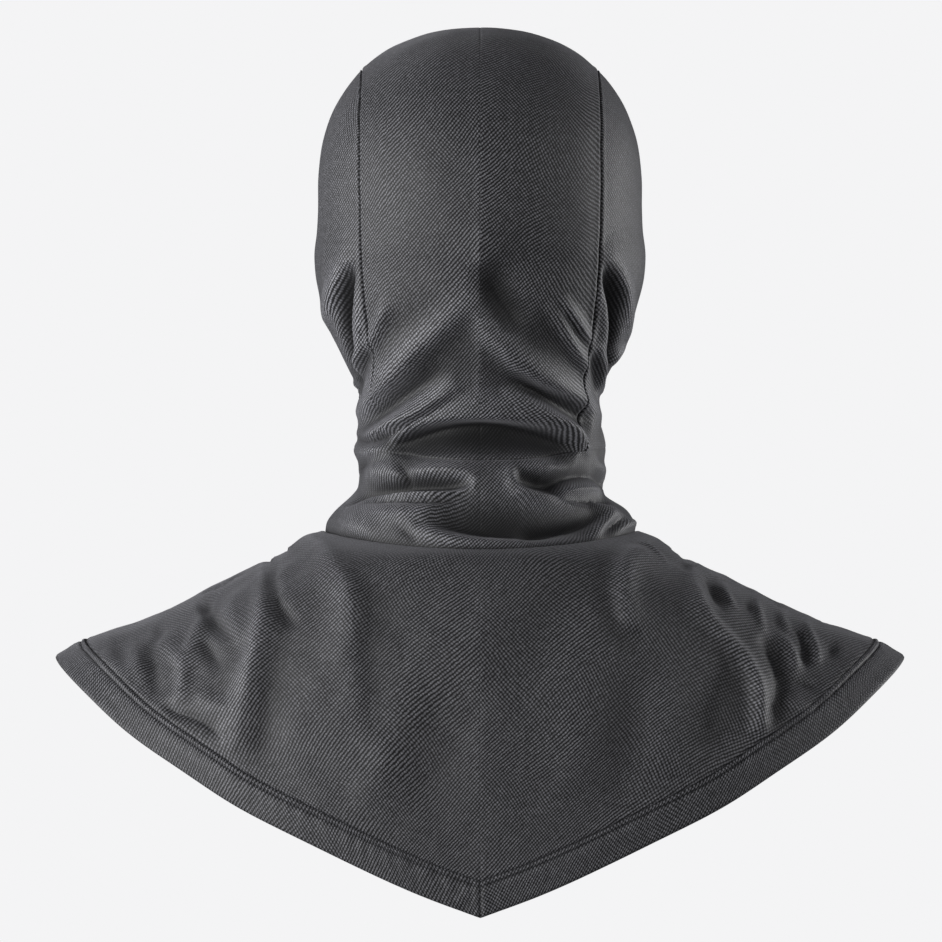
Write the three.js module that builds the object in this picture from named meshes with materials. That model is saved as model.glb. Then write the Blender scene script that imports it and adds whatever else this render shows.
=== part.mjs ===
// A knitted balaclava in the form it has when worn: a close hood, a gathered neck, a face panel pulled up over the
// nose, and a shoulder cape with a wide hem that ends in a V at the back and at the front.
// Millimetres, +Z up, the face towards -Y, the wearer's left towards +X.
// The origin is where the inside of the crown rests on the head, so every drop is measured down from there.
import * as THREE from "three";

// Cloth
const CLOTH = 1.6; // thickness of the knit
const SEAM_GAP = 0.5; // clearance between pieces that are sewn edge to edge
const LAP_GAP = 0.8; // clearance between layers that lie on each other

// Head and neck, to the inside of the cloth
const HEAD_HALF_WIDTH = 81.6;
const HEAD_BACK = 97;
const HEAD_FRONT = 95;
const WIDEST_DROP = 82; // where the head is widest, also the brow edge
const DOME_SQUARENESS = 2.25; // exponent of the crown's superellipse, 2 is round
const COLLAR_DROP = 266; // to the collar seam at the middle of the back

// Seams of the hood
const STRIP_HALF_WIDTH = 59.5; // middle strip, from the centre seam to the side seam
const EYE_HEIGHT = 46; // from the brow edge to the face panel's top edge
const GAITER_HEIGHT = 46; // nape seam to collar seam at the middle of the back
const COLLAR_SIDE_RISE = 8; // how far the collar seam rises over the shoulders
const COLLAR_FRONT_DIP = 30; // and dips at the throat
const COLLAR_TUCK = 4; // how far the gaiter reaches down behind the cape's edge

// Face panel
const MASK_HALF_TURN = 68; // degrees each way from the middle of the face
const MASK_SIDE_DIP = 14; // how far its top edge drops towards the ears
const MASK_LAP = 7; // how far its lower edge laps over the gaiter
const NOSE_RISE = 17;
const NOSE_WIDTH = 24;

// Cape and hem
const CAPE_HALF_WIDTH = 217.5;
const CAPE_BACK = 122;
const CAPE_FRONT = 106;
const CAPE_SQUARENESS = 2.3; // exponent of the outline seen from above, 2 is round
const SHOULDER_DROP = 322; // to the hem where it crosses the shoulder
const BACK_TIP_DROP = 445;
const FRONT_TIP_DROP = 434;
const HEM_WIDTH = 17;

// Folds
const FOLD_RISE = 4;
const FOLD_WIDTH = 8.5;
const GATHER_RISE = 2.2;

// The hood below its widest level. Level 0 is the widest level and 1 the collar seam at the back.
// side, back and front are shares of the head's half width, back and front.
const HOOD_LEVELS = [
  { level: 0.0, side: 1.0, back: 1.0, front: 1.0, square: 2.25 },
  { level: 0.11, side: 1.006, back: 0.99, front: 1.0, square: 2.25 },
  { level: 0.18, side: 1.024, back: 0.965, front: 1.0, square: 2.25 },
  { level: 0.23, side: 1.018, back: 0.94, front: 1.0, square: 2.2 },
  { level: 0.315, side: 0.975, back: 0.905, front: 1.0, square: 2.2 },
  { level: 0.38, side: 0.929, back: 0.86, front: 1.01, square: 2.2 },
  { level: 0.45, side: 0.858, back: 0.81, front: 1.03, square: 2.2 },
  { level: 0.52, side: 0.785, back: 0.755, front: 1.05, square: 2.15 },
  { level: 0.565, side: 0.733, back: 0.72, front: 1.06, square: 2.1 },
  { level: 0.62, side: 0.714, back: 0.7, front: 1.06, square: 2.1 },
  { level: 0.685, side: 0.752, back: 0.68, front: 1.05, square: 2.1 },
  { level: 0.72, side: 0.764, back: 0.68, front: 1.04, square: 2.1 },
  { level: 0.785, side: 0.749, back: 0.73, front: 0.94, square: 2.1 },
  { level: 0.85, side: 0.759, back: 0.79, front: 0.72, square: 2.1 },
  { level: 0.886, side: 0.879, back: 0.835, front: 0.67, square: 2.1 },
  { level: 0.92, side: 0.939, back: 0.88, front: 0.645, square: 2.1 },
  { level: 0.965, side: 0.961, back: 0.92, front: 0.64, square: 2.1 },
  { level: 1.0, side: 0.964, back: 0.93, front: 0.65, square: 2.1 },
  { level: 1.18, side: 0.98, back: 0.95, front: 0.8, square: 2.1 },
];

// Half width of the middle strip down the back of the head, as a share of STRIP_HALF_WIDTH.
const STRIP_TAPER = [
  { level: 0.0, half: 1.0 },
  { level: 0.2, half: 0.985 },
  { level: 0.4, half: 0.93 },
  { level: 0.55, half: 0.85 },
  { level: 0.75, half: 0.86 },
];

// Front edge of a side panel under the face panel, as a share of STRIP_HALF_WIDTH. Level as above.
const FACE_EDGE = [
  { level: 0.0, half: 1.0 },
  { level: 0.12, half: 1.09 },
  { level: 0.25, half: 1.1 },
  { level: 0.45, half: 1.0 },
  { level: 0.6, half: 0.86 },
  { level: 0.85, half: 0.68 },
];

// The cape from the collar seam, out 0, to the hem, out 1: how much of the way outwards and downwards it has gone.
const CAPE_PROFILE = [
  { out: 0.0, sideReach: 0.0, sideFall: 0.0, backReach: 0.0, backFall: 0.0 },
  { out: 0.07, sideReach: 0.09, sideFall: 0.07, backReach: 0.26, backFall: 0.02 },
  { out: 0.15, sideReach: 0.16, sideFall: 0.2, backReach: 0.48, backFall: 0.09 },
  { out: 0.35, sideReach: 0.36, sideFall: 0.4, backReach: 0.8, backFall: 0.31 },
  { out: 0.65, sideReach: 0.67, sideFall: 0.71, backReach: 0.97, backFall: 0.63 },
  { out: 0.88, sideReach: 0.91, sideFall: 0.895, backReach: 1.0, backFall: 0.875 },
  { out: 1.0, sideReach: 1.0, sideFall: 1.0, backReach: 1.0, backFall: 1.0 },
];

// The hem's edge from the tip of the V, across 0, to the point of the shoulder, across 1.
// fall is its share of the way down from the shoulder to the tip.
const HEM_LINE = [
  { across: 0.0, fall: 1.0 },
  { across: 0.14, fall: 0.908 },
  { across: 0.41, fall: 0.688 },
  { across: 0.55, fall: 0.567 },
  { across: 0.68, fall: 0.425 },
  { across: 0.81, fall: 0.278 },
  { across: 0.92, fall: 0.118 },
  { across: 1.0, fall: 0.0 },
];

// Folds of the hood and gaiter. Each runs through three stations: turn in degrees from the middle of the back towards
// the wearer's left, and level as above. width and rise are shares of FOLD_WIDTH and FOLD_RISE; a dent has a rise < 0.
const HOOD_FOLDS = [
  { turnA: 44, levelA: 0.16, turnB: 58, levelB: 0.28, turnC: 74, levelC: 0.4, width: 0.9, rise: 0.8 },
  { turnA: 47, levelA: 0.24, turnB: 57, levelB: 0.38, turnC: 64, levelC: 0.54, width: 1.6, rise: -3.0 },
  { turnA: 44, levelA: 0.3, turnB: 51, levelB: 0.4, turnC: 66, levelC: 0.56, width: 0.8, rise: 0.8 },
  { turnA: 8, levelA: 0.31, turnB: 26, levelB: 0.44, turnC: 72, levelC: 0.61, width: 1.0, rise: 1.1 },
  { turnA: 20, levelA: 0.51, turnB: 42, levelB: 0.59, turnC: 68, levelC: 0.66, width: 1.0, rise: -0.8 },
  { turnA: 2, levelA: 0.5, turnB: 22, levelB: 0.59, turnC: 70, levelC: 0.69, width: 1.0, rise: 0.9 },
  { turnA: -44, levelA: 0.16, turnB: -58, levelB: 0.27, turnC: -72, levelC: 0.38, width: 0.9, rise: 0.8 },
  { turnA: -46, levelA: 0.24, turnB: -57, levelB: 0.38, turnC: -64, levelC: 0.54, width: 1.6, rise: -3.0 },
  { turnA: -45, levelA: 0.3, turnB: -52, levelB: 0.42, turnC: -66, levelC: 0.56, width: 0.8, rise: 0.8 },
  { turnA: -6, levelA: 0.33, turnB: -20, levelB: 0.48, turnC: -56, levelC: 0.6, width: 1.0, rise: 1.1 },
  { turnA: -16, levelA: 0.5, turnB: -32, levelB: 0.58, turnC: -54, levelC: 0.64, width: 1.0, rise: -1.0 },
  { turnA: -12, levelA: 0.57, turnB: -30, levelB: 0.63, turnC: -74, levelC: 0.73, width: 1.0, rise: 0.9 },
  { turnA: 42, levelA: 0.72, turnB: 0, levelB: 0.685, turnC: -42, levelC: 0.72, width: 1.1, rise: -1.6 },
  { turnA: 2, levelA: 0.83, turnB: 32, levelB: 0.85, turnC: 70, levelC: 0.86, width: 0.8, rise: 0.8 },
  { turnA: -14, levelA: 0.79, turnB: -22, levelB: 0.81, turnC: -36, levelC: 0.81, width: 0.9, rise: -1.0 },
  { turnA: -40, levelA: 0.76, turnB: -60, levelB: 0.8, turnC: -82, levelC: 0.85, width: 0.9, rise: 0.9 },
  { turnA: 28, levelA: 0.93, turnB: 0, levelB: 0.94, turnC: -28, levelC: 0.93, width: 1.2, rise: -1.0 },
];

// Folds of the cape. Stations: turn as above, and out from the collar seam to the hem.
const CAPE_FOLDS = [
  { turnA: 42, outA: 0.05, turnB: 36, outB: 0.2, turnC: 32, outC: 0.34, width: 1.2, rise: 0.7 },
  { turnA: 58, outA: 0.1, turnB: 50, outB: 0.24, turnC: 44, outC: 0.4, width: 1.6, rise: -0.9 },
  { turnA: 68, outA: 0.22, turnB: 56, outB: 0.5, turnC: 48, outC: 0.84, width: 1.3, rise: 1.0 },
  { turnA: 76, outA: 0.4, turnB: 68, outB: 0.6, turnC: 60, outC: 0.82, width: 1.5, rise: -0.9 },
  { turnA: 80, outA: 0.55, turnB: 73, outB: 0.68, turnC: 68, outC: 0.82, width: 1.0, rise: 0.7 },
  { turnA: 24, outA: 0.3, turnB: 20, outB: 0.55, turnC: 18, outC: 0.8, width: 3.0, rise: -0.6 },
  { turnA: -42, outA: 0.05, turnB: -37, outB: 0.18, turnC: -36, outC: 0.34, width: 1.2, rise: 0.8 },
  { turnA: -56, outA: 0.1, turnB: -48, outB: 0.24, turnC: -44, outC: 0.4, width: 1.6, rise: -0.9 },
  { turnA: -66, outA: 0.18, turnB: -56, outB: 0.44, turnC: -50, outC: 0.82, width: 1.3, rise: 1.0 },
  { turnA: -76, outA: 0.36, turnB: -68, outB: 0.54, turnC: -62, outC: 0.76, width: 1.5, rise: -0.9 },
  { turnA: -80, outA: 0.5, turnB: -74, outB: 0.62, turnC: -69, outC: 0.76, width: 1.0, rise: 0.7 },
  { turnA: -26, outA: 0.3, turnB: -26, outB: 0.55, turnC: -26, outC: 0.8, width: 3.0, rise: -0.6 },
  { turnA: 112, outA: 0.15, turnB: 124, outB: 0.5, turnC: 130, outC: 0.85, width: 1.8, rise: 0.8 },
  { turnA: -112, outA: 0.15, turnB: -124, outB: 0.5, turnC: -130, outC: 0.85, width: 1.8, rise: 0.8 },
  { turnA: 150, outA: 0.1, turnB: 156, outB: 0.45, turnC: 160, outC: 0.8, width: 1.8, rise: -0.7 },
  { turnA: -150, outA: 0.1, turnB: -156, outB: 0.45, turnC: -160, outC: 0.8, width: 1.8, rise: -0.7 },
];

const RADIANS = Math.PI / 180;
const lerp = THREE.MathUtils.lerp;
const smoothstep = THREE.MathUtils.smoothstep;
const signedPower = (value, power) => Math.sign(value) * Math.abs(value) ** power;

// A smooth curve through a table's rows that never overshoots them, held level past both ends.
function curveThrough(rows, along, column) {
  const at = rows.map((row) => row[along]);
  const value = rows.map((row) => row[column]);
  const steps = at.slice(1).map((next, i) => next - at[i]);
  const rates = steps.map((step, i) => (value[i + 1] - value[i]) / step);
  const slopes = at.map((_, i) => {
    const before = rates[i - 1] ?? rates[i];
    const after = rates[i] ?? rates[i - 1];
    return before * after > 0 ? (2 * before * after) / (before + after) : 0;
  });
  return (x) => {
    if (x <= at[0]) return value[0];
    if (x >= at[at.length - 1]) return value[value.length - 1];
    const i = at.findIndex((next) => next > x) - 1;
    const t = (x - at[i]) / steps[i];
    const rest = 1 - t;
    const ends = value[i] * rest * rest * (1 + 2 * t) + value[i + 1] * t * t * (3 - 2 * t);
    return ends + steps[i] * (slopes[i] * t * rest * rest - slopes[i + 1] * t * t * rest);
  };
}

// A value that goes smoothly from the back to the side to the front as turn goes from 0 to 180 degrees.
function aroundTurn(turn, back, side, front) {
  const c = Math.cos(turn);
  return side + ((c > 0 ? back : front) - side) * c * c;
}

const sideShare = curveThrough(HOOD_LEVELS, "level", "side");
const backShare = curveThrough(HOOD_LEVELS, "level", "back");
const frontShare = curveThrough(HOOD_LEVELS, "level", "front");
const squareness = curveThrough(HOOD_LEVELS, "level", "square");
const stripShare = curveThrough(STRIP_TAPER, "level", "half");
const faceShare = curveThrough(FACE_EDGE, "level", "half");

const levelOf = (drop) => (drop - WIDEST_DROP) / (COLLAR_DROP - WIDEST_DROP);
const dropOf = (level) => lerp(WIDEST_DROP, COLLAR_DROP, level);

// The hood's horizontal section at a drop: half width, reach to the back and to the front, and squareness.
function hoodSection(drop) {
  if (drop < WIDEST_DROP) {
    const rise = Math.min((WIDEST_DROP - drop) / WIDEST_DROP, 1);
    const scale = (1 - rise ** DOME_SQUARENESS) ** (1 / DOME_SQUARENESS);
    const [side, back, front] = [HEAD_HALF_WIDTH, HEAD_BACK, HEAD_FRONT].map((size) => size * scale);
    return { side, back, front, square: DOME_SQUARENESS };
  }
  const level = levelOf(drop);
  return {
    side: HEAD_HALF_WIDTH * sideShare(level),
    back: HEAD_BACK * backShare(level),
    front: HEAD_FRONT * frontShare(level),
    square: squareness(level),
  };
}

// The point of the hood at a turn round from the back and a drop.
function hoodPoint(turn, drop) {
  const { side, back, front, square } = hoodSection(drop);
  const x = side * signedPower(Math.sin(turn), 2 / square);
  const y = (Math.cos(turn) > 0 ? back : front) * signedPower(Math.cos(turn), 2 / square);
  return new THREE.Vector3(x, y, -drop);
}

// The turn at which the hood is x off the middle at that drop, on its back half.
function turnAt(x, drop) {
  const { side, square } = hoodSection(drop);
  return Math.asin(Math.min(Math.abs(x) / side, 1) ** (square / 2)) * Math.sign(x);
}

// The point of the crown that is x off the middle, at an angle over the head from the back, 0, to the brow, 180 degrees.
function domePoint(angle, x) {
  const n = DOME_SQUARENESS;
  const reach = Math.cos(angle) > 0 ? HEAD_BACK : HEAD_FRONT;
  const spread = Math.abs(Math.cos(angle) / reach) ** n + Math.abs(Math.sin(angle) / WIDEST_DROP) ** n;
  const radius = ((1 - Math.abs(x / HEAD_HALF_WIDTH) ** n) / spread) ** (1 / n);
  return new THREE.Vector3(x, radius * Math.cos(angle), radius * Math.sin(angle) - WIDEST_DROP);
}

// Below 1 inside the smooth hood, above 1 outside it.
function hoodValue({ x, y, z }) {
  if (z > -WIDEST_DROP) {
    const n = DOME_SQUARENESS;
    const reach = y > 0 ? HEAD_BACK : HEAD_FRONT;
    const rise = (z + WIDEST_DROP) / WIDEST_DROP;
    return Math.abs(x / HEAD_HALF_WIDTH) ** n + Math.abs(y / reach) ** n + rise ** n;
  }
  const { side, back, front, square } = hoodSection(-z);
  return Math.abs(x / side) ** square + Math.abs(y / (y > 0 ? back : front)) ** square;
}

// The smooth hood's outward direction at a point on it.
function hoodOut(point) {
  const step = 0.05;
  const slope = (axis) => {
    const ahead = point.clone();
    const behind = point.clone();
    ahead[axis] += step;
    behind[axis] -= step;
    return hoodValue(ahead) - hoodValue(behind);
  };
  return new THREE.Vector3(slope("x"), slope("y"), slope("z")).normalize();
}

// Fold rows as lines through space, with their sizes in millimetres.
function foldLines(rows, pointAt) {
  const pieces = 8;
  return rows.map((row) => {
    const stations = ["A", "B", "C"].map((s) => pointAt(row, s));
    const line = new THREE.CatmullRomCurve3(stations).getPoints(pieces);
    return { line, width: row.width * FOLD_WIDTH, rise: row.rise * FOLD_RISE };
  });
}

// How far the folds push the cloth out at a point of the smooth form.
function foldShift(folds, point) {
  const nearest = new THREE.Vector3();
  const piece = new THREE.Line3();
  let shift = 0;
  for (const { line, width, rise } of folds) {
    let closest = Infinity;
    let along = 0;
    for (let i = 0; i + 1 < line.length; i++) {
      piece.set(line[i], line[i + 1]);
      const share = piece.closestPointToPointParameter(point, true);
      const distance = piece.at(share, nearest).distanceTo(point);
      if (distance < closest) {
        closest = distance;
        along = (i + share) / (line.length - 1);
      }
    }
    const taper = 1 - (2 * along - 1) ** 4;
    shift += rise * taper * Math.exp(-((closest / width) ** 2));
  }
  return shift;
}

// Drops of the two seams round the neck.
function collarDrop(turn) {
  return aroundTurn(turn, COLLAR_DROP, COLLAR_DROP - COLLAR_SIDE_RISE, COLLAR_DROP + COLLAR_FRONT_DIP);
}
function napeDrop(turn) {
  const seam = COLLAR_DROP - GAITER_HEIGHT;
  return aroundTurn(turn, seam, seam - 0.13 * GAITER_HEIGHT, seam + 0.35 * GAITER_HEIGHT);
}

const hoodFolds = foldLines(HOOD_FOLDS, (row, s) =>
  hoodPoint(row["turn" + s] * RADIANS, dropOf(row["level" + s])),
);

// Soft ring folds where the neck bunches up at the sides and in front, which no fold row covers.
function gatherShift(turn, drop) {
  const share = (drop - napeDrop(turn)) / (collarDrop(turn) - napeDrop(turn));
  const frontness = smoothstep(Math.abs(turn), 75 * RADIANS, 120 * RADIANS);
  const rings = Math.sin(2 * Math.PI * (2.6 * share + 0.22 * Math.sin(3 * turn)));
  return GATHER_RISE * frontness * smoothstep(share, 0.2, 0.4) * (1 - smoothstep(share, 0.8, 1)) * rings;
}

// A point of the hood or gaiter with its folds, and the way out of the cloth there.
function foldedHood(smooth, extra = 0) {
  const out = hoodOut(smooth);
  const turn = Math.atan2(smooth.x, smooth.y);
  const aboveCollar = collarDrop(turn) + smooth.z;
  const freedom = smoothstep(aboveCollar, 0, FOLD_WIDTH);
  const shift = freedom * foldShift(hoodFolds, smooth) + gatherShift(turn, -smooth.z) + extra;
  return { place: smooth.clone().addScaledVector(out, shift), out };
}

const capeShares = ["sideReach", "sideFall", "backReach", "backFall"].map((column) =>
  curveThrough(CAPE_PROFILE, "out", column),
);

const hemFall = curveThrough(HEM_LINE, "across", "fall");

// The point of the smooth cape at a turn, from the collar seam, out 0, to the hem, out 1.
function capePoint(turn, out) {
  const seam = hoodPoint(turn, collarDrop(turn));
  seam.addScaledVector(new THREE.Vector3(seam.x, seam.y, 0).normalize(), CLOTH + SEAM_GAP);
  const tipDrop = Math.cos(turn) > 0 ? BACK_TIP_DROP : FRONT_TIP_DROP;
  const reach = Math.cos(turn) > 0 ? CAPE_BACK : CAPE_FRONT;
  const across = signedPower(Math.sin(turn), 2 / CAPE_SQUARENESS);
  const along = signedPower(Math.cos(turn), 2 / CAPE_SQUARENESS);
  const fall = (tipDrop - SHOULDER_DROP) * hemFall(Math.abs(across));
  const [sideReach, sideFall, backReach, backFall] = capeShares.map((curve) => curve(out));
  const reached = aroundTurn(turn, backReach, sideReach, backReach);
  const fallen = aroundTurn(turn, backFall, sideFall, backFall);
  return new THREE.Vector3(
    lerp(seam.x, CAPE_HALF_WIDTH * across, reached),
    lerp(seam.y, reach * along, reached),
    lerp(seam.z, -SHOULDER_DROP - fall, fallen),
  );
}

const capeFolds = foldLines(CAPE_FOLDS, (row, s) => capePoint(row["turn" + s] * RADIANS, row["out" + s]));

// A point of the cape with its folds, which die out at the collar seam and at the stiff hem.
function foldedCape(turn, out) {
  const smooth = capePoint(turn, out);
  const step = 1e-3;
  const inner = Math.min(Math.max(out, step), 1 - step);
  const round = capePoint(turn + step, inner).sub(capePoint(turn - step, inner));
  const down = capePoint(turn, inner + step).sub(capePoint(turn, inner - step));
  const normal = round.cross(down).normalize();
  const freedom = smoothstep(out, 0, 0.08) * (1 - smoothstep(out, 0.75, 0.95));
  return { place: smooth.addScaledVector(normal, freedom * foldShift(capeFolds, smooth)), out: normal };
}

// The share of the cape's profile that the hem takes up at a turn.
function hemShare(turn) {
  const step = 1e-3;
  const inward = Math.abs(turn) > Math.PI / 2 ? -step : step;
  const edge = capePoint(turn, 1);
  const down = edge.clone().sub(capePoint(turn, 1 - step)).divideScalar(step);
  const round = capePoint(turn + inward * Math.sign(turn || 1), 1).sub(edge).normalize();
  return HEM_WIDTH / down.addScaledVector(round, -down.dot(round)).length();
}

// A closed sheet of cloth over a grid: pointAt(u, v) gives the body side's place and the way out of the cloth.
function clothSheet(columns, rows, pointAt) {
  const body = [];
  const outer = [];
  for (let j = 0; j <= rows; j++)
    for (let i = 0; i <= columns; i++) {
      const { place, out } = pointAt(i / columns, j / rows);
      body.push(place);
      outer.push(place.clone().addScaledVector(out, CLOTH));
    }
  const wide = columns + 1;
  const count = body.length;
  const index = [];
  const quad = (a, b, c, d) => index.push(a, b, c, a, c, d);
  const first = new THREE.Triangle();
  const second = new THREE.Triangle();
  const flatness = (a, b, c, d) => {
    first.set(outer[a], outer[b], outer[c]);
    second.set(outer[a], outer[c], outer[d]);
    return first.getNormal(new THREE.Vector3()).dot(second.getNormal(new THREE.Vector3()));
  };
  for (let j = 0; j < rows; j++)
    for (let i = 0; i < columns; i++) {
      const a = j * wide + i;
      const ring = [a, a + 1, a + wide + 1, a + wide];
      // Each four-sided cell is split along the diagonal that bends it least, so folds run smoothly.
      if (flatness(...ring) < flatness(...ring.slice(1), a)) ring.push(ring.shift());
      quad(...ring);
      const [b, c, d, e] = ring.map((corner) => count + corner);
      quad(b, e, d, c);
    }
  for (let i = 0; i < columns; i++) {
    const top = i;
    const low = rows * wide + i;
    quad(top, count + top, count + top + 1, top + 1);
    quad(low + 1, count + low + 1, count + low, low);
  }
  for (let j = 0; j < rows; j++) {
    const near = j * wide;
    const far = near + columns;
    quad(near + wide, count + near + wide, count + near, near);
    quad(far, count + far, count + far + wide, far + wide);
  }
  const middle = Math.floor(rows / 2) * wide + Math.floor(columns / 2);
  const across = outer[middle + 1].clone().sub(outer[middle]);
  const down = outer[middle + wide].clone().sub(outer[middle]);
  const through = outer[middle].clone().sub(body[middle]);
  if (down.cross(across).dot(through) < 0) index.reverse();
  const geometry = new THREE.BufferGeometry().setFromPoints([...body, ...outer]);
  geometry.setIndex(index);
  geometry.computeVertexNormals();
  return geometry;
}

const charcoal = { color: new THREE.Color(0.075, 0.075, 0.083), metalness: 0 };
const knit = new THREE.MeshStandardMaterial({ ...charcoal, roughness: 0.72 });
const hemKnit = new THREE.MeshStandardMaterial({ ...charcoal, roughness: 0.78 });

const HANDS = { left: 1, right: -1 };

// A pair of pieces, one for each hand. Each is set off the middle by half a seam gap.
function pairOf(name, material, columns, rows, pointAt) {
  return Object.entries(HANDS).map(([side, hand]) => {
    const mesh = new THREE.Mesh(clothSheet(columns, rows, (u, v) => pointAt(u, v, hand)), material);
    mesh.name = `${name}_${side}`;
    mesh.position.x = (hand * SEAM_GAP) / 2;
    return mesh;
  });
}

// The middle strip: up the back of the head in level rows, then over the crown to the brow.
function crownPair() {
  const backRows = 24;
  const domeRows = 14;
  const halfWidth = (drop) => STRIP_HALF_WIDTH * stripShare(levelOf(drop)) - SEAM_GAP / 2;
  return pairOf("crown", knit, 8, backRows + domeRows, (u, v, hand) => {
    const row = v * (backRows + domeRows);
    if (row > backRows) {
      const angle = (Math.PI * (row - backRows)) / domeRows;
      return foldedHood(domePoint(angle, hand * u * halfWidth(WIDEST_DROP)));
    }
    let drop = lerp(napeDrop(0), WIDEST_DROP, row / backRows);
    let turn = 0;
    for (let pass = 0; pass < 5; pass++) {
      turn = turnAt(hand * u * halfWidth(drop), drop);
      drop = lerp(napeDrop(turn) - SEAM_GAP / 2, WIDEST_DROP, row / backRows);
    }
    return foldedHood(hoodPoint(turn, drop));
  });
}

// A side panel: from the strip's seam round the ear and jaw to the face opening.
function sidePair() {
  const n = DOME_SQUARENESS;
  const seam = STRIP_HALF_WIDTH + SEAM_GAP / 2;
  const topDrop = WIDEST_DROP * (1 - (1 - (seam / HEAD_HALF_WIDTH) ** n) ** (1 / n)) + SEAM_GAP;
  const backEdge = (drop) => turnAt(STRIP_HALF_WIDTH * stripShare(levelOf(drop)) + SEAM_GAP / 2, drop);
  const frontEdge = (drop) => Math.PI - turnAt(STRIP_HALF_WIDTH * faceShare(levelOf(drop)) + SEAM_GAP / 2, drop);
  return pairOf("side", knit, 12, 24, (u, v, hand) => {
    const share = v ** 1.25;
    let drop = lerp(topDrop, napeDrop(Math.PI / 2), share);
    let turn = Math.PI / 2;
    for (let pass = 0; pass < 6; pass++) {
      turn = lerp(backEdge(drop), frontEdge(drop), u ** 1.25);
      drop = lerp(topDrop, napeDrop(turn) - SEAM_GAP / 2, share);
    }
    return foldedHood(hoodPoint(hand * turn, drop));
  });
}

function gaiterPair() {
  return pairOf("gaiter", knit, 22, 9, (u, v, hand) => {
    const turn = hand * Math.PI * u ** 1.3;
    return foldedHood(hoodPoint(turn, lerp(napeDrop(turn) + SEAM_GAP / 2, collarDrop(turn) + COLLAR_TUCK, v)));
  });
}

// The face panel lies over the side panels and the gaiter, and stands off the face over the nose.
function maskPanel() {
  const eyeLow = WIDEST_DROP + EYE_HEIGHT;
  const noseTip = eyeLow + 0.62 * EYE_HEIGHT;
  const geometry = clothSheet(20, 9, (u, v) => {
    const across = 2 * u - 1;
    const turn = Math.PI + across * MASK_HALF_TURN * RADIANS;
    const drop = lerp(eyeLow + MASK_SIDE_DIP * across ** 2, napeDrop(turn) + MASK_LAP, v);
    const smooth = hoodPoint(turn, drop);
    const overNose = Math.exp(-((smooth.x / NOSE_WIDTH) ** 2) - ((drop - noseTip) / (0.8 * EYE_HEIGHT)) ** 2);
    return foldedHood(smooth, CLOTH + LAP_GAP * (1 + v ** 4) + NOSE_RISE * overNose);
  });
  const mesh = new THREE.Mesh(geometry, knit);
  mesh.name = "mask_panel";
  return mesh;
}

// Columns of the cape and the hem lie closest over the backs of the shoulders, where the folds are.
function capeColumn(u, hand) {
  const share = u ** 1.2;
  return hand * Math.PI * (share + 0.05 * Math.sin(2 * Math.PI * share));
}

function capePair() {
  return pairOf("cape", knit, 26, 11, (u, v, hand) => {
    const turn = capeColumn(u, hand);
    return foldedCape(turn, v * (1 - hemShare(turn) * (1 + SEAM_GAP / HEM_WIDTH)));
  });
}

function hemPair() {
  return pairOf("hem", hemKnit, 26, 2, (u, v, hand) => {
    const turn = capeColumn(u, hand);
    return foldedCape(turn, 1 - hemShare(turn) * (1 - v));
  });
}

const balaclava = new THREE.Group();
balaclava.add(...crownPair(), ...sidePair(), ...gaiterPair(), maskPanel(), ...capePair(), ...hemPair());

export default balaclava;
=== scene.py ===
import math

import bpy
import numpy as np
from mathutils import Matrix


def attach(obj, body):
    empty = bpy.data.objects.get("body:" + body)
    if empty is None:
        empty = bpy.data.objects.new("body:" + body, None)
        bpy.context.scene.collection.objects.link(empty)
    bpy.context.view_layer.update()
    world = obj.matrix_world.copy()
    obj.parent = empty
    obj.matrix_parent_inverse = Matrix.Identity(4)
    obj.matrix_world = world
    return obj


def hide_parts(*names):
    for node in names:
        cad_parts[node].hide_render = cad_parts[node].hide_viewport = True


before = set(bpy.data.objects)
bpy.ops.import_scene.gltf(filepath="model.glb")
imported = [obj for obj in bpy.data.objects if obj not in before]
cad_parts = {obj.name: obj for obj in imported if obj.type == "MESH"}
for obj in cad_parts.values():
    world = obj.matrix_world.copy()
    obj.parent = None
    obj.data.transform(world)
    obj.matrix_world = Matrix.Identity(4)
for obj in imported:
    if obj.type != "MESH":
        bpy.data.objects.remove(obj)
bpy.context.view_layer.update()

# Lengths are in millimetres until a mesh is made. The tables and sizes repeat the CAD source's smooth forms.
MM = 0.001
CLOTH = 1.6
HALF_GAP = -0.05
LAP_GAP = 0.8

HEAD_HALF_WIDTH = 81.6
HEAD_BACK = 97.0
HEAD_FRONT = 95.0
WIDEST_DROP = 82.0
DOME_SQUARENESS = 2.25
COLLAR_DROP = 266.0

STRIP_HALF_WIDTH = 59.5
EYE_HEIGHT = 46.0
GAITER_HEIGHT = 46.0
COLLAR_SIDE_RISE = 8.0
COLLAR_FRONT_DIP = 30.0
COLLAR_TUCK = 4.0

MASK_HALF_TURN = math.radians(68)
MASK_SIDE_DIP = 14.0
MASK_LAP = 7.0
NOSE_RISE = 17.0
NOSE_WIDTH = 24.0

CAPE_HALF_WIDTH = 217.5
CAPE_BACK = 122.0
CAPE_FRONT = 106.0
CAPE_SQUARENESS = 2.3
CAPE_SET_OFF = 1.9
SHOULDER_DROP = 322.0
BACK_TIP_DROP = 445.0
FRONT_TIP_DROP = 434.0
HEM_WIDTH = 17.0
GATHER_RISE = 2.2

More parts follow.
